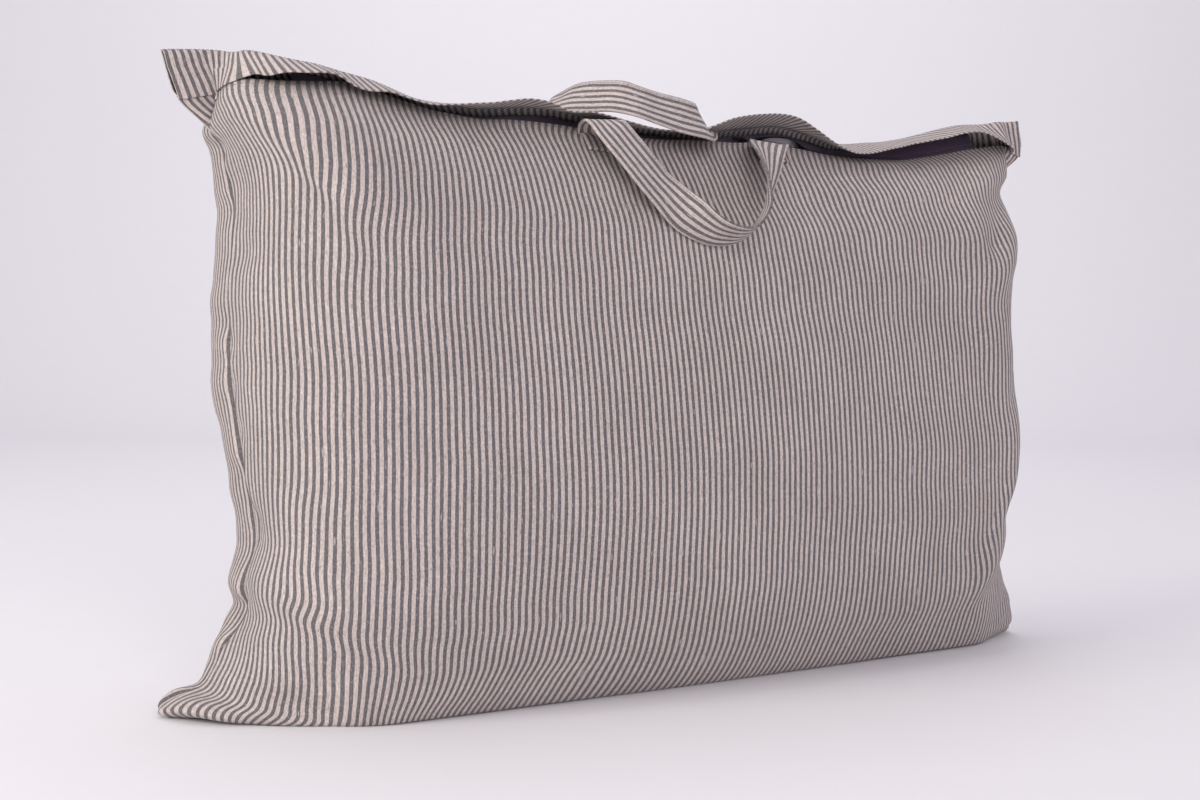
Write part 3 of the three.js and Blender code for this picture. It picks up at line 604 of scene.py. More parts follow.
def mesh_object(name, points, faces, uvs=None):
    """A smooth-shaded object from points in millimetres, placed in the row frame in metres."""
    mesh = bpy.data.meshes.new(name)
    places = (np.asarray(points, float) - MIDDLE) * MM
    mesh.from_pydata(places.tolist(), [], [list(map(int, f)) for f in faces])
    if uvs is not None:
        layer = mesh.uv_layers.new(name="flat_cloth")
        corners = np.array([i for f in faces for i in f], int)
        layer.data.foreach_set("uv", np.asarray(uvs, np.float32)[corners].ravel())
    mesh.polygons.foreach_set("use_smooth", [True] * len(mesh.polygons))
    mesh.update()
    piece = bpy.data.objects.new(name, mesh)
    bpy.context.scene.collection.objects.link(piece)
    return piece


def grid_faces(rows, columns, flip=False, closed=False):
    """Quads of a grid of points in rows; a closed one joins its last column to its first."""
    around = np.arange(columns if closed else columns - 1)
    j, i = (grid.ravel() for grid in np.meshgrid(np.arange(rows - 1), around, indexing="ij"))
    right = (i + 1) % columns
    a, b = j * columns + i, j * columns + right
    c, d = (j + 1) * columns + right, (j + 1) * columns + i
    return np.stack([a, d, c, b] if flip else [a, b, c, d], axis=1)


def cloth_piece(name, sheet, hem_depth, thickness):
    """The panel as one sheet whose top edge is turned in, with the cloth's own thickness."""
    hem = turned_hem(sheet.points, sheet.normals, hem_depth)
    points = np.concatenate([sheet.points, hem])
    ups = np.concatenate([sheet.ups, sheet.ups[-1] + np.linspace(0.4, hem_depth + 2, len(hem))])
    grid_a, grid_u = np.meshgrid(sheet.across, ups)
    if sheet.panel is FRONT:
        grid_a = grid_a - slide(sheet.across, ups)
    else:
        fold = along_fold(sheet.points[-1 - FLAP_ROWS], sheet.across)
        turned = ease((grid_u - FOLD_STRIPES) / (FRONT_HEIGHT - FOLD_STRIPES))
        grid_a = mix(grid_a, fold[None, :], turned)
    uvs = np.stack([grid_a / REPEAT, grid_u / REPEAT], axis=-1).reshape(-1, 2)
    faces = grid_faces(*grid_a.shape, flip=sheet.panel.side > 0)
    piece = mesh_object(name, points.reshape(-1, 3), faces, uvs)
    solid = piece.modifiers.new("cloth thickness", "SOLIDIFY")
    solid.thickness = thickness * MM
    solid.offset = -1
    return piece


def tidy_normals(piece):
    """Turns a closed piece's faces outwards."""
    work = bmesh.new()
    work.from_mesh(piece.data)
    bmesh.ops.recalc_face_normals(work, faces=work.faces)
    work.to_mesh(piece.data)
    work.free()


def ribbon_out(lines):
    """Ways out of a ribbon's face, from its lines along it."""
    return unit(np.cross(np.gradient(lines, axis=1), np.gradient(lines, axis=0)))


def strip_object(name, lines, thickness, uv_scale):
    """A closed ribbon around rows of middle points: lines[k] runs along it, k across it."""
    out = ribbon_out(lines)
    top, bottom = lines + out * thickness / 2, lines - out * thickness / 2
    ring = np.concatenate([top, bottom[::-1]])  # round the section
    points = ring.transpose(1, 0, 2)
    steps, count = points.shape[:2]
    v = run_along(lines[len(lines) // 2])
    widths = np.linalg.norm(np.diff(lines, axis=0), axis=2).mean(axis=1)
    u = np.concatenate([[0], np.cumsum(widths)])
    u_ring = np.concatenate([u, u[::-1]])
    uvs = np.stack(np.broadcast_arrays(u_ring[None, :], v[:, None]), axis=-1) / uv_scale
    faces = grid_faces(steps, count, closed=True).tolist()
    last = (steps - 1) * count
    for k in range(count // 2 - 1):
        end = [k, k + 1, count - 2 - k, count - 1 - k]
        faces += [end[::-1], [last + i for i in end]]
    piece = mesh_object(name, points.reshape(-1, 3), faces, uvs.reshape(-1, 2))
    tidy_normals(piece)
    return piece


def stitch_object(name, runs, length=2.6, gap=0.7, radius=0.28):
    """Raised stitches along runs of places with ways out, each a small rounded thread."""
    rings = len(STITCH_PROFILE)
    ends = [list(range(STITCH_SIDES))[::-1]]
    ends.append([(rings - 1) * STITCH_SIDES + k for k in range(STITCH_SIDES)])
    thread = grid_faces(rings, STITCH_SIDES, closed=True).tolist() + ends
    turn = 2 * math.pi * np.arange(STITCH_SIDES) / STITCH_SIDES
    points, faces = [], []
    for places, outs in runs:
        places, outs = np.asarray(places, float), np.asarray(outs, float)
        run = run_along(places)
        for start in np.arange(gap / 2, run[-1] - length, length + gap):
            a, b = (on_line(w, run, places) for w in (start, start + length))
            size = np.linalg.norm(b - a)
            way = unit(b - a)
            side = unit(np.cross(way, on_line(start, run, outs)))
            out = np.cross(side, way)
            ring = np.outer(np.cos(turn), side) + np.outer(np.sin(turn), out)
            first = len(points)
            for t, wide in STITCH_PROFILE:
                rise = out * radius * (wide - STITCH_SUNK)
                points += list((a + b) / 2 + way * size * t + rise + radius * wide * ring)
            faces += [[first + i for i in face] for face in thread]
    piece = mesh_object(name, points, faces)
    tidy_normals(piece)
    return piece


def finish_piece(piece, finish, nodes=()):
    """Gives a piece its finish, attaches it to the root body, and hides the solids that it stands
    for.
    """
    piece.data.materials.append(finish_of(finish))
    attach(piece, "root")
    if nodes:
        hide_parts(*nodes)


class Shader:
    """Makes a material's nodes: each call adds one node and gives its output."""

    def __init__(self, name):
        self.material = bpy.data.materials.new(name)
        self.material.use_nodes = True
        self.tree = self.material.node_tree
        self.tree.nodes.clear()
        self.surface = self.tree.nodes.new("ShaderNodeBsdfPrincipled")
        output = self.tree.nodes.new("ShaderNodeOutputMaterial")
        self.put(output, {"Surface": self.surface.outputs[0]})

    def put(self, node, values):
        """Gives a node's inputs, named or numbered, their links or plain values."""
        for key, value in values.items():
            if isinstance(value, bpy.types.NodeSocket):
                self.tree.links.new(value, node.inputs[key])
            else:
                node.inputs[key].default_value = value

    def add(self, kind, *inputs, output=0, named=(), **settings):
        node = self.tree.nodes.new(kind)
        for key, value in settings.items():
            setattr(node, key, value)
        self.put(node, {**dict(enumerate(inputs)), **dict(named)})
        return node.outputs[output]

    def math(self, operation, *values):
        return self.add("ShaderNodeMath", *values, operation=operation)

    def times(self, a, b):
        return self.math("MULTIPLY", a, b)

    def plus(self, a, b):
        return self.math("ADD", a, b)

    def between(self, value, low, high, to_low=0.0, to_high=1.0):
        """A smooth step from one value to another as the input goes from low to high."""
        return self.add("ShaderNodeMapRange", value, low, high, to_low, to_high,
                        interpolation_type="SMOOTHSTEP")

    def blend(self, share, a, b, kind="MIX"):
        sockets = {0: share, 6: a, 7: b}  # the factor and the two colours
        return self.add("ShaderNodeMix", output=2, named=sockets, data_type="RGBA",
                        blend_type=kind)

    def shade(self, color, value):
        """The colour multiplied by a number."""
        grey = self.add("ShaderNodeCombineColor", value, value, value)
        return self.blend(1.0, color, grey, "MULTIPLY")

    def flat_cloth(self):
        """The UVs: the place across the flat cloth and the place up it."""
        uv = self.add("ShaderNodeUVMap", uv_map="flat_cloth")
        across = self.add("ShaderNodeSeparateXYZ", uv)
        return across, across.node.outputs[1]

    def place(self, u, v, w=0.0):
        return self.add("ShaderNodeCombineXYZ", u, v, w)

    def noise(self, vector, scale, detail=2.0, roughness=0.5):
        sockets = {"Vector": vector, "Scale": scale, "Detail": detail, "Roughness": roughness}
        return self.add("ShaderNodeTexNoise", named=sockets)

    def bump(self, height, strength, distance):
        sockets = {"Height": height, "Strength": strength, "Distance": distance}
        self.put(self.surface, {"Normal": self.add("ShaderNodeBump", named=sockets)})

    def finish(self, color, **constants):
        sockets = {key.replace("_", " "): value for key, value in constants.items()}
        self.put(self.surface, {"Base Color": color, **sockets})
        return self.material


def linen(name, yarns, colours):
    """Plain-woven linen with warp stripes; the UVs count stripe repeats across and along."""
    s = Shader(name)
    u, v = s.flat_cloth()

    def texture(across, along, layer, detail=0.0, roughness=0.5):
        """Noise with its own grain across and along the cloth."""
        place = s.place(s.times(u, across), s.times(v, along), layer)
        return s.noise(place, 1.0, detail, roughness)

    drift = s.noise(s.place(u, s.times(v, 0.3)), 1.4)
    across = s.plus(u, s.times(s.math("SUBTRACT", drift, 0.5), 0.12))
    edge, soft = 0.258, 0.035  # of the dark stripe, as shares of the repeat
    dark = s.between(s.math("PINGPONG", across, 0.5), edge - soft, edge + soft)

    warp_wave = s.math("SINE", s.times(s.times(u, yarns), math.pi))
    weft_wave = s.math("SINE", s.times(s.times(v, yarns), math.pi))
    over = s.times(warp_wave, weft_wave)
    weft_shows = s.between(over, 0.15, -0.55)
    warp_tone = texture(yarns, 0.9, 0.0, 3.0, 0.6)
    weft_tone = texture(0.5, yarns, 7.0, 3.0, 0.6)
    patches = s.noise(s.place(u, v, 3.0), 0.11, 3.0, 0.6)
    heather = texture(5.0, 2.6, 17.0, 2.0, 0.7)
    slubs, flecks = texture(3.3, 0.55, 11.0), texture(4.0, 1.0, 23.0)

    light, slate, undyed, slub, fleck = (
        (*colour, 1)
        for colour in (colours.light, colours.dark, colours.weft, colours.slub, colours.fleck)
    )
    warp = s.shade(s.blend(dark, light, slate), s.between(warp_tone, 0.25, 0.75, 0.74, 1.26))
    weft = s.shade(undyed, s.between(weft_tone, 0.25, 0.75, 0.78, 1.2))
    cloth = s.blend(s.times(weft_shows, s.between(dark, 0.0, 1.0, 0.8, 0.42)), warp, weft)
    cloth = s.shade(cloth, s.between(patches, 0.2, 0.8, 0.93, 1.06))
    cloth = s.shade(cloth, s.between(heather, 0.3, 0.7, 0.84, 1.17))
    cloth = s.blend(s.times(dark, s.between(heather, 0.5, 0.72, 0.0, 0.3)), cloth, undyed)
    cloth = s.blend(s.between(slubs, 0.76, 0.83, 0.0, 0.45), cloth, slub)
    cloth = s.blend(s.between(flecks, 0.76, 0.82, 0.0, 0.55), cloth, fleck)

    weave = s.plus(s.times(over, 0.3), s.times(s.math("ABSOLUTE", warp_wave), 0.3))
    yarn = s.plus(s.plus(weave, s.times(warp_tone, 0.9)), s.times(weft_tone, 0.9))
    s.bump(yarn, 0.5, 0.00022)
    return s.finish(
        cloth, Roughness=0.88, Specular_IOR_Level=0.22, Sheen_Weight=0.12, Sheen_Roughness=0.5)


def tape_cloth(name, colour):
    """Fine ribbed nylon of the zip tapes; the UVs are millimetres."""
    s = Shader(name)
    u, v = s.flat_cloth()
    slant = s.plus(s.times(u, 1.6), s.times(v, 1.1))
    ribs = s.math("SINE", s.times(slant, 2 * math.pi))
    tone = s.noise(s.place(u, v, 1.0), 0.6, 3.0)
    color = s.shade((*colour, 1), s.between(tone, 0.2, 0.8, 0.8, 1.25))
    color = s.shade(color, s.between(ribs, -1.0, 1.0, 0.86, 1.1))
    s.bump(ribs, 0.35, 0.00012)
    return s.finish(color, Roughness=0.62, Specular_IOR_Level=0.4, Sheen_Weight=0.1)


def solid_colour(name, colour, roughness, metallic=0.0, grain=900.0, lift=0.00004, sheen=0.0,
                 mottle=0.07):
    """A plain finish with fine grain: thread, nylon teeth, painted metal, wadding or paper."""
    s = Shader(name)
    place = s.add("ShaderNodeTexCoord", output="Object")
    fine, broad = s.noise(place, grain, 3.0), s.noise(place, grain / 12)
    tone = s.plus(s.between(fine, 0.2, 0.8, -mottle, mottle),
                  s.between(broad, 0.2, 0.8, 1 - mottle, 1 + mottle))
    s.bump(fine, 0.5, lift)
    return s.finish(s.shade((*colour, 1), tone), Roughness=roughness, Metallic=metallic,
                    Sheen_Weight=sheen)


def strap_lines(sheet, rows):
    """Left edge, middle and right edge of a handle, flat on its panel at both ends."""
    sides = (-1, 0, 1)
    lift = SEAM_GAP * 1.5 + STRAP_THICKNESS / 2

    def foot(x, up, turn):
        found = []
        for side in sides:
            place, out = sheet.at(sheet.across_at(x + side * turn * STRAP_WIDTH / 2, up), up)
            found.append(place + out * lift)
        return found

    rows = np.array(rows, float)
    middles, ways = rows[:, :3], rows[:, 3:]
    ahead = unit(np.gradient(middles, axis=0))
    ways = unit(ways - ahead * (ways * ahead).sum(axis=1, keepdims=True))
    feet = [STRAP_FOOT + k * FOOT_STEP for k in range(3)]
    turns = np.copysign(1, rows[[0, -1], 3])
    stations = [foot(STRAP_ENDS[0], up, turns[0]) for up in feet]
    stations += [[m + w * side * STRAP_WIDTH / 2 for side in sides] for m, w in zip(middles, ways)]
    stations += [foot(STRAP_ENDS[1], up, turns[1]) for up in feet[::-1]]
    stations = np.array(stations)
    lengths = run_along(stations[:, 1])
    wanted = np.linspace(0, lengths[-1], STRAP_STEPS + 1)
    lines = []
    for k in range(3):
        at = table(["along", "x", "y", "z"], np.column_stack([lengths, stations[:, k]]).tolist())
        lines.append(np.stack(list(at(wanted).values()), axis=1))
    return lines


def strap_piece(name, sheet, rows, seed):
    """A strap handle, with its lines along it and its ways out."""
    left, middle, right = strap_lines(sheet, rows)
    s = np.linspace(-1, 1, STRAP_LINES)[:, None]
    bow = (left + right) / 2 - middle
    lines = middle + s[..., None] * (right - left) / 2 + s[..., None] ** 2 * bow
    out = ribbon_out(lines)
    share = np.linspace(0, 1, lines.shape[1])[None, :]
    free = ease(share / 0.12) * ease((1 - share) / 0.12)
    high, along, side = STRAP_WAVES
    wave = value_noise(*np.broadcast_arrays(share * along, s * side), seed) * high * free
    lines = lines + out * wave[..., None]
    return strip_object(name, lines, STRAP_CLOTH, REPEAT), lines, out


def strap_stitching(name, lines, out):
    """Two rows of stitches along a strap, a little in from each edge, on both faces."""
    runs = []
    for k, edge in ((1, 0), (-2, -1)):
        row = mix(lines[k], lines[edge], 0.1)
        for face in (1, -1):
            runs.append((row + out[k] * face * STRAP_CLOTH / 2, out[k] * face))
    return stitch_object(name, runs)


def zip_lines(front, back):
    """Middle lines of both tapes, from their sewn edges to where they meet or hang open."""
    inside = front.across[(front.across > ZIP_START + 4) & (front.across < ZIP_END - 4)]
    places = np.concatenate([[ZIP_START], inside, [ZIP_END]])

    def tape_line(sheet, up):
        place, out = sheet.at(places, up)
        return place - out * (CLOTH + SEAM_GAP + TAPE_THICKNESS / 2)

    root = tape_line(back, TAPE_ROOT)
    edge = tape_line(front, FRONT_HEIGHT - 0.5)
    free = edge + unit(root - edge) * TAPE_FRONT
    closed = free + unit(root - free) * SEAM_GAP
    hanging = root + np.array([0, -TAPE_BACK * 0.95, -TAPE_BACK * 0.25])
    opened = ease((places - SLIDER_AT) / OPEN_EASE) * ease((OPEN_END - places) / OPEN_EASE)
    loose = mix(closed, hanging, opened[:, None])
    front_tape = np.array([tape_line(front, FRONT_HEIGHT - TAPE_SEWN), edge, free])
    back_tape = np.array([loose, root, tape_line(back, TAPE_ROOT - TAPE_SEWN)])
    return places, front_tape, back_tape


def finer(lines, count):
    """More lines between those given, evenly between each pair."""
    made = [lines[0]]
    for a, b in zip(lines[:-1], lines[1:]):
        made += [mix(a, b, (k + 1) / count) for k in range(count)]
    return np.array(made)


# The slider's and its pull's blocks, in millimetres along the zip, across it and out of it:
# low corner, high corner, and how narrow the low end is.
SLIDER_BLOCKS = [
    ((-4.5, -4, -0.2), (4.5, 4, 0.9), 0.7), ((-3.2, -0.8, 0.9), (-2.0, 0.8, 2.8), 1),
    ((1.6, -0.8, 0.9), (2.8, 0.8, 2.8), 1), ((-3.2, -0.8, 2.4), (2.8, 0.8, 3.1), 1),
]
PULL_BLOCKS = [
    ((-13.0, -2, 3.3), (-11.0, 2, 4.2), 1), ((-11.0, -2, 3.3), (-2.5, -1.0, 4.2), 1),
    ((-11.0, 1.0, 3.3), (-2.5, 2, 4.2), 1), ((-2.5, -2, 3.3), (-0.5, 2, 4.2), 1),
    ((-9.0, -1.0, 3.5), (-4.5, 1.0, 4.0), 1),
]


def blocks_of(blocks):
    """Corners and faces of blocks."""
    corners, faces = [], []
    for low, high, narrow in blocks:
        a = len(corners)
        for x, wide in ((low[0], narrow), (high[0], 1)):
            corners += [(x, low[1] * wide, low[2]), (x, high[1] * wide, low[2]),
                        (x, high[1] * wide, high[2]), (x, low[1] * wide, high[2])]
        faces += [[a + 3, a + 2, a + 1, a], [a + 4, a + 5, a + 6, a + 7]]
        for k, n in ((0, 1), (1, 2), (2, 3), (3, 0)):
            faces.append([a + k, a + n, a + n + 4, a + k + 4])
    return np.array(corners), faces


def number(name, description, default, low, high):
    return FloatProperty(name=name, description=description, default=default, min=low, max=high)


def paint(name, description, default):
    return FloatVectorProperty(
        name=name, description=description, default=default, subtype="COLOR")


class BagSizes(PropertyGroup):
    wrinkles: number("Wrinkles", "How strong the puckers and ripples of the cloth are",
                     1.0, 0.0, 2.0)
    cloth: number("Cloth thickness", "Thickness of the woven linen, in millimetres", 0.7, 0.3, 1.2)
    yarns: number("Yarns a stripe pair", "Warp yarns in one dark and one light stripe",
                  10.0, 4.0, 20.0)
    tooth_pitch: number("Zip tooth pitch", "From one tooth of the zip to the next, in millimetres",
                        1.4, 0.8, 3.0)
    filling_puff: number("Filling puff", "How unevenly the wadding swells, in millimetres",
                         2.5, 0.0, 4.0)


class BagColours(PropertyGroup):
    light: paint("Light stripe", "Undyed warp yarn", (0.56, 0.487, 0.452))
    dark: paint("Dark stripe", "Slate warp yarn", (0.072, 0.072, 0.083))
    weft: paint("Weft", "Undyed yarn across the stripes", (0.5, 0.436, 0.41))
    slub: paint("Slubs", "Thick pale places in the yarn", (0.68, 0.6, 0.57))
    fleck: paint("Flecks", "Dark bits of straw in the yarn", (0.16, 0.13, 0.12))
    thread: paint("Sewing thread", "Thread of all the stitching", (0.2, 0.18, 0.19))
    tape: paint("Zip tape", "Dark plum nylon", (0.075, 0.05, 0.088))
    metal: paint("Zip slider", "Painted metal", (0.02, 0.018, 0.022))
    wadding: paint("Filling", "White wadding", (0.9, 0.89, 0.9))
    floor: paint("Floor", "Pale paper of the floor and backdrop", (0.85, 0.85, 0.862))


SHEETS = {}
MATERIALS = {}

# The plain finishes: name, which of the bag's colours, and how it looks.
FINISHES = {
    "teeth": ("zip teeth", "tape", dict(roughness=0.4)),
    "metal": ("painted metal", "metal", dict(roughness=0.35, metallic=0.7)),
    "thread": ("sewing thread", "thread", dict(roughness=0.7, grain=2500.0, lift=0.00005)),
    "wadding": ("wadding", "wadding", dict(roughness=0.95, grain=350.0, lift=0.0006, sheen=0.3)),
    "floor": ("studio paper", "floor",
              dict(roughness=0.7, grain=300.0, lift=0.00001, mottle=0.004)),
}


def sheets():
    """The outer faces of both panels, made once and joined along their seams."""
    if not SHEETS:
        strength = bpy.context.scene.bag_sizes.wrinkles
        front, back = Sheet(FRONT, strength), Sheet(BACK, strength)
        close_seams(front, back)
        front.normals = grid_normals(front.points, FRONT.side)
        sew_flap_ends(front, back)
        back.normals = grid_normals(back.points, BACK.side)
        SHEETS.update(front=front, back=back)
    return SHEETS["front"], SHEETS["back"]


def finish_of(name):
    """The bag's finishes, each made once."""
    if name not in MATERIALS:
        colours = bpy.context.scene.bag_colours
        if name == "linen":
            yarns = bpy.context.scene.bag_sizes.yarns
            MATERIALS[name] = linen("striped linen", yarns, colours)
        elif name == "tape":
            MATERIALS[name] = tape_cloth("zip tape", colours.tape)
        else:
            label, which, looks = FINISHES[name]
            MATERIALS[name] = solid_colour(label, getattr(colours, which), **looks)
    return MATERIALS[name]


class BAG_OT_front_panel(Operator):
    """Builds the front panel with its turned zip edge"""

    bl_idname = "bag.front_panel"
    bl_label = "Front panel"

    def execute(self, context):
        piece = cloth_piece("front_cloth", sheets()[0], HEM, context.scene.bag_sizes.cloth)
        finish_piece(piece, "linen", ["front_panel"])
        return {"FINISHED"}


class BAG_OT_back_panel(Operator):
    """Builds the back panel with its top fold and the doubled flap over the zip"""

    bl_idname = "bag.back_panel"
    bl_label = "Back panel and flap"

    def execute(self, context):
        piece = cloth_piece("back_cloth", sheets()[1], FLAP_LINING, context.scene.bag_sizes.cloth)
        finish_piece(piece, "linen", ["back_panel"])
        return {"FINISHED"}


class BAG_OT_stitching(Operator):
    """Sews the stitch lines along the zip edge and along the top fold"""

    bl_idname = "bag.stitching"
    bl_label = "Stitching of the panels"

    def execute(self, context):
        front, back = sheets()
        (*edge, below), (*fold, past) = EDGE_STITCHES, FOLD_STITCHES
        edge = front.at(np.linspace(*edge, 600), FRONT_HEIGHT - below)
        fold = back.at(np.linspace(*fold, 700), BAG_HEIGHT + past)
        stitches = stitch_object("panel_stitches", [edge, fold])
        finish_piece(stitches, "thread")
        return {"FINISHED"}


class BAG_OT_zip(Operator):
    """Builds both zip tapes, the teeth, the slider and its pull"""

    bl_idname = "bag.zip"
    bl_label = "Zip"

    def execute(self, context):
        places, front_tape, back_tape = zip_lines(*sheets())
        for name, lines, node, panel in (
            ("front_tape", front_tape, "zip_tape_front", "front_panel"),
            ("back_tape", back_tape, "zip_tape_back", "back_panel"),
        ):
            tape = strip_object(name, finer(lines, 4), TAPE_CLOTH, 1.0)
            finish_piece(tape, "tape", [node])
        self.teeth(context, front_tape, back_tape)
        self.slider(front_tape, back_tape, places)
        return {"FINISHED"}

    def teeth(self, context, front_tape, back_tape):
        """Rows of small teeth along both tapes' edges, half a pitch apart."""
        pitch = context.scene.bag_sizes.tooth_pitch
        runs = []
        for line, other, shift in ((front_tape[2], front_tape[1], 0),
                                   (back_tape[0], back_tape[1], 0.5)):
            way = unit(line - other)
            out = np.cross(unit(np.gradient(line, axis=0)), way)
            out *= np.sign(out[:, 2:3] + 1e-9)
            run = run_along(line)
            for w in np.arange(pitch * (1 + shift), run[-1] - pitch, pitch):
                edge, ahead, above = (on_line(w, run, each) for each in (line, way, out))
                base = edge + above * TAPE_THICKNESS * 0.5
                tooth = [base - ahead * TOOTH_REACH[0], base + ahead * TOOTH_REACH[1]]
                runs.append((tooth, [above, above]))
        teeth = stitch_object("zip_teeth", runs, gap=0.1, radius=0.5)
        finish_piece(teeth, "teeth")

    def slider(self, front_tape, back_tape, places):
        """Painted slider with a bridge, and its pull, where the zip begins to open."""
        i = int(np.searchsorted(places, SLIDER_AT))
        free = front_tape[2]
        along = unit(free[i + 1] - free[i - 1])
        out = unit(np.cross(along, back_tape[0][i] - front_tape[1][i]))
        out *= math.copysign(1, out[2])
        basis = np.column_stack([along, np.cross(out, along), out])
        for name, node, blocks in (("slider", "zip_slider", SLIDER_BLOCKS),
                                   ("slider_pull", "zip_pull", PULL_BLOCKS)):
            corners, faces = blocks_of(blocks)
            piece = mesh_object(name, corners @ basis.T + free[i] + out * SLIDER_LIFT, faces)
            tidy_normals(piece)
            piece.modifiers.new("edges", "BEVEL").width = 0.3 * MM
            finish_piece(piece, "metal", [node])


class BAG_OT_handles(Operator):
    """Builds the two strap handles and the stitching along their edges"""

    bl_idname = "bag.handles"
    bl_label = "Strap handles"

    def execute(self, context):
        front, back = sheets()
        for name, sheet, rows, seed, node, panel in (
            ("front_strap", front, FRONT_HANDLE, 31, "handle_front", "front_panel"),
            ("back_strap", back, BACK_HANDLE, 32, "handle_back", "back_panel"),
        ):
            strap, lines, out = strap_piece(name, sheet, rows, seed)
            finish_piece(strap, "linen", [node])
            stitches = strap_stitching(name + "_stitches", lines, out)
            finish_piece(stitches, "thread")
        return {"FINISHED"}


class BAG_OT_filling(Operator):
    """Builds the white wadding that shows at the open part of the zip"""

    bl_idname = "bag.filling"
    bl_label = "Filling"

    def execute(self, context):
        back = sheets()[1]
        puff = context.scene.bag_sizes.filling_puff
        at_side, at_foot, at_top = FILLING_MARGIN
        across = np.linspace(FILLING_SIDES[0] + at_side, FILLING_SIDES[1] - at_side, FILLING_GRID)
        ups = np.linspace(FILLING_FOOT + at_foot, FILLING_TOP - at_top, FILLING_GRID)
        places, outs = (np.array(grid) for grid in zip(*(back.at(across, up) for up in ups)))
        grid_a, grid_u = np.meshgrid(across, ups)
        to_edge = np.minimum.reduce(
            [grid_a - across[0], across[-1] - grid_a, grid_u - ups[0], ups[-1] - grid_u])
        full = (np.sqrt(clamp01(to_edge / FILLING_ROUND)) * 0.96)[..., None]
        swell = (value_noise(grid_a / 34, grid_u / 30, 41) * puff * 0.4 - puff * 0.5)[..., None]
        mouth = ease((grid_a - SLIDER_AT) / MOUTH_EASE)
        mouth = mouth * ease((OPEN_END + 4 - grid_a) / MOUTH_EASE)
        mouth = (mouth * ease((grid_u - MOUTH_FOOT[0]) / MOUTH_FOOT[1]))[..., None]
        middle = places - outs * (CLOTH + SEAM_GAP + FILLING_THICKNESS / 2) + mouth * MOUTH_BULGE
        half = FILLING_THICKNESS / 2 * full
        near, far = middle + outs * (half - 0.3 * full), middle - outs * (half + swell * full)
        points = np.concatenate([near.reshape(-1, 3), far.reshape(-1, 3)])
        index = np.arange(grid_a.size).reshape(grid_a.shape)
        rim = np.concatenate([index[0], index[1:, -1], index[-1, -2::-1], index[-2:0:-1, 0]])
        faces = grid_faces(*grid_a.shape, flip=True).tolist()
        faces += (grid_faces(*grid_a.shape) + grid_a.size).tolist()
        for a, b in zip(rim, np.roll(rim, -1)):
            faces.append([a, b, b + grid_a.size, a + grid_a.size])
        piece = mesh_object("wadding", points, faces)
        tidy_normals(piece)
        finish_piece(piece, "wadding", ["filling"])
        return {"FINISHED"}


# The studio, in metres and degrees.
PAPER_FAR, PAPER_BEND, PAPER_HIGH, PAPER_HALF = 3.2, 1.0, 3.5, 5.0
PAPER_TURN = -30
WORLD_COLOUR, WORLD_STRENGTH = (0.95, 0.89, 1.0, 1), 0.55
# Lights: name, place, aim, size, watts and colour.
LIGHTS = [
    ("key", (-3.35, -0.25, 1.55), (0, 0, 0.25), 1.5, 56, (1.0, 0.96, 0.86)),
    ("front", (-1.2, -3.3, 1.45), (0, 0, 0.25), 1.9, 45, (1.0, 0.96, 0.99)),
    ("top", (0.0, 0.5, 2.8), (0, 0, 0.2), 2.0, 17, (1.0, 0.98, 1.0)),
    ("backdrop", (1.2, 2.1, 2.9), (2.2, 4.0, 0.6), 2.0, 20, (1.0, 0.98, 1.0)),
]
CAMERA_PLACE = (-0.8355, -1.3368, 0.2956)
CAMERA_YAW, CAMERA_PITCH, CAMERA_ROLL = 30.365, -2.254, 0.446  # from +Y towards +X, up, tilt
CAMERA_LENS = 55.5


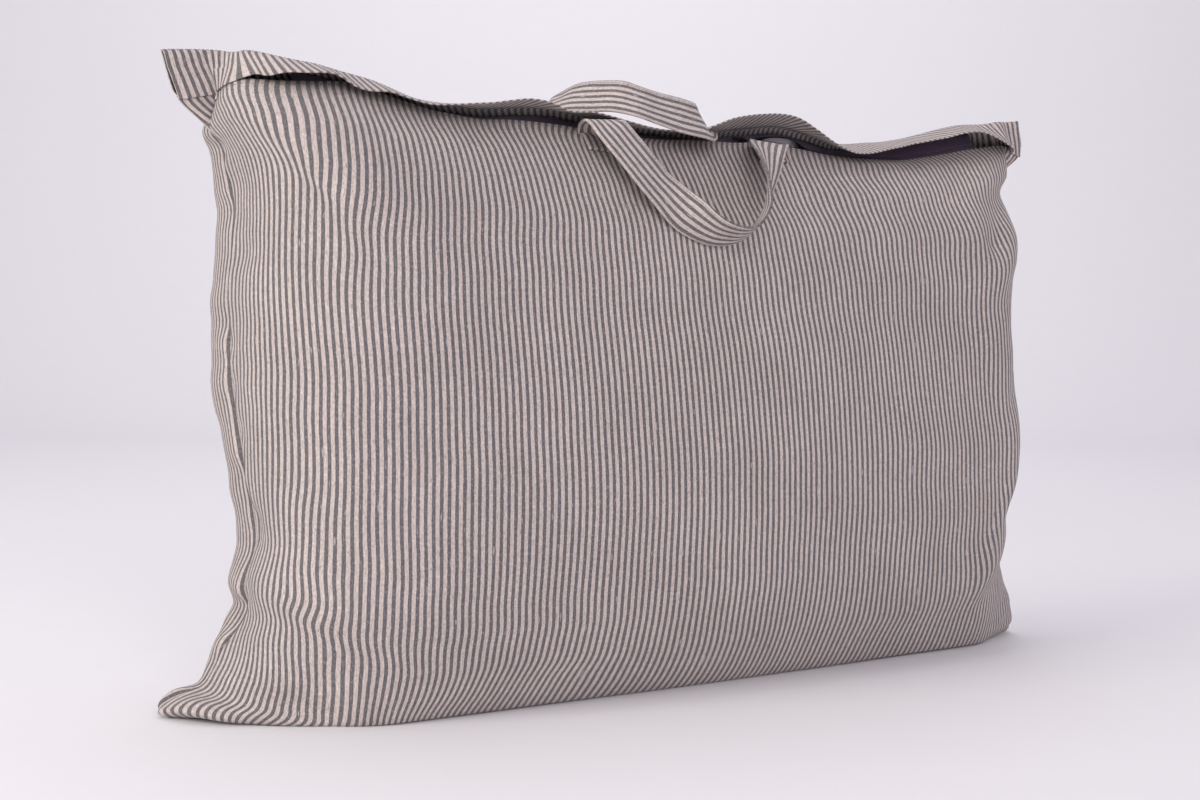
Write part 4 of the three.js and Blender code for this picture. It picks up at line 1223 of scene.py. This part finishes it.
class BAG_OT_studio(Operator):
    """Builds the pale floor and backdrop, the soft lights and the camera"""

    bl_idname = "bag.studio"
    bl_label = "Studio"

    def execute(self, context):
        self.floor()
        self.lights(context)
        self.camera(context)
        return {"FINISHED"}

    def floor(self):
        """A sheet of paper that curves up behind the bag."""
        bend = np.linspace(0, math.pi / 2, 16)[1:]
        profile = [(-PAPER_HALF, 0.0), (PAPER_FAR, 0.0)]
        profile += [(PAPER_FAR + PAPER_BEND * math.sin(t), PAPER_BEND * (1 - math.cos(t)))
                    for t in bend]
        profile.append((PAPER_FAR + PAPER_BEND, PAPER_HIGH))
        points = [(x, y, z) for y, z in profile for x in (-PAPER_HALF, PAPER_HALF)]
        faces = [(2 * k, 2 * k + 1, 2 * k + 3, 2 * k + 2) for k in range(len(profile) - 1)]
        mesh = bpy.data.meshes.new("studio_paper")
        mesh.from_pydata(points, [], faces)
        mesh.polygons.foreach_set("use_smooth", [True] * len(faces))
        mesh.materials.append(finish_of("floor"))
        paper = bpy.data.objects.new("studio_paper", mesh)
        paper.rotation_euler[2] = math.radians(PAPER_TURN)
        bpy.context.scene.collection.objects.link(paper)

    def lights(self, context):
        world = bpy.data.worlds.new("studio")
        world.use_nodes = True
        background = world.node_tree.nodes["Background"]
        background.inputs["Color"].default_value = WORLD_COLOUR
        background.inputs["Strength"].default_value = WORLD_STRENGTH
        context.scene.world = world
        context.scene.view_settings.view_transform = "Standard"
        for name, place, aim, size, watts, colour in LIGHTS:
            data = bpy.data.lights.new(name, "AREA")
            data.shape, data.size, data.energy, data.color = "SQUARE", size, watts, colour
            light = bpy.data.objects.new(name, data)
            light.location = place
            way = Vector(aim) - Vector(place)
            light.rotation_euler = way.to_track_quat("-Z", "Y").to_euler()
            context.scene.collection.objects.link(light)

    def camera(self, context):
        data = bpy.data.cameras.new("view")
        data.sensor_fit, data.sensor_width, data.lens = "HORIZONTAL", 36.0, CAMERA_LENS
        camera = bpy.data.objects.new("view", data)
        place = Matrix.Translation(CAMERA_PLACE)
        for angle, axis in ((-CAMERA_YAW, "Z"), (90 + CAMERA_PITCH, "X"), (CAMERA_ROLL, "Z")):
            place = place @ Matrix.Rotation(math.radians(angle), 4, axis)
        camera.matrix_world = place
        context.scene.collection.objects.link(camera)
        context.scene.camera = camera


OPERATORS = (
    BAG_OT_front_panel, BAG_OT_back_panel, BAG_OT_stitching, BAG_OT_zip,
    BAG_OT_handles, BAG_OT_filling, BAG_OT_studio,
)


class BAG_PT_panel(Panel):
    bl_label = "Storage Bag"
    bl_idname = "BAG_PT_panel"
    bl_space_type = "VIEW_3D"
    bl_region_type = "UI"
    bl_category = "Storage Bag"

    def draw(self, context):
        layout = self.layout
        for group in (context.scene.bag_sizes, context.scene.bag_colours):
            box = layout.box()
            for key in group.__annotations__:
                box.prop(group, key)
        for operator in OPERATORS:
            layout.operator(operator.bl_idname)


CLASSES = (BagSizes, BagColours, *OPERATORS, BAG_PT_panel)


def register():
    for each in CLASSES:
        bpy.utils.register_class(each)
    bpy.types.Scene.bag_sizes = PointerProperty(type=BagSizes)
    bpy.types.Scene.bag_colours = PointerProperty(type=BagColours)


def unregister():
    del bpy.types.Scene.bag_colours
    del bpy.types.Scene.bag_sizes
    for each in reversed(CLASSES):
        bpy.utils.unregister_class(each)


def main():
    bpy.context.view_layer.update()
    register()
    bpy.ops.bag.studio()
    bpy.ops.bag.front_panel()
    bpy.ops.bag.back_panel()
    bpy.ops.bag.stitching()
    bpy.ops.bag.zip()
    bpy.ops.bag.handles()
    bpy.ops.bag.filling()


if __name__ == "__main__":
    main()
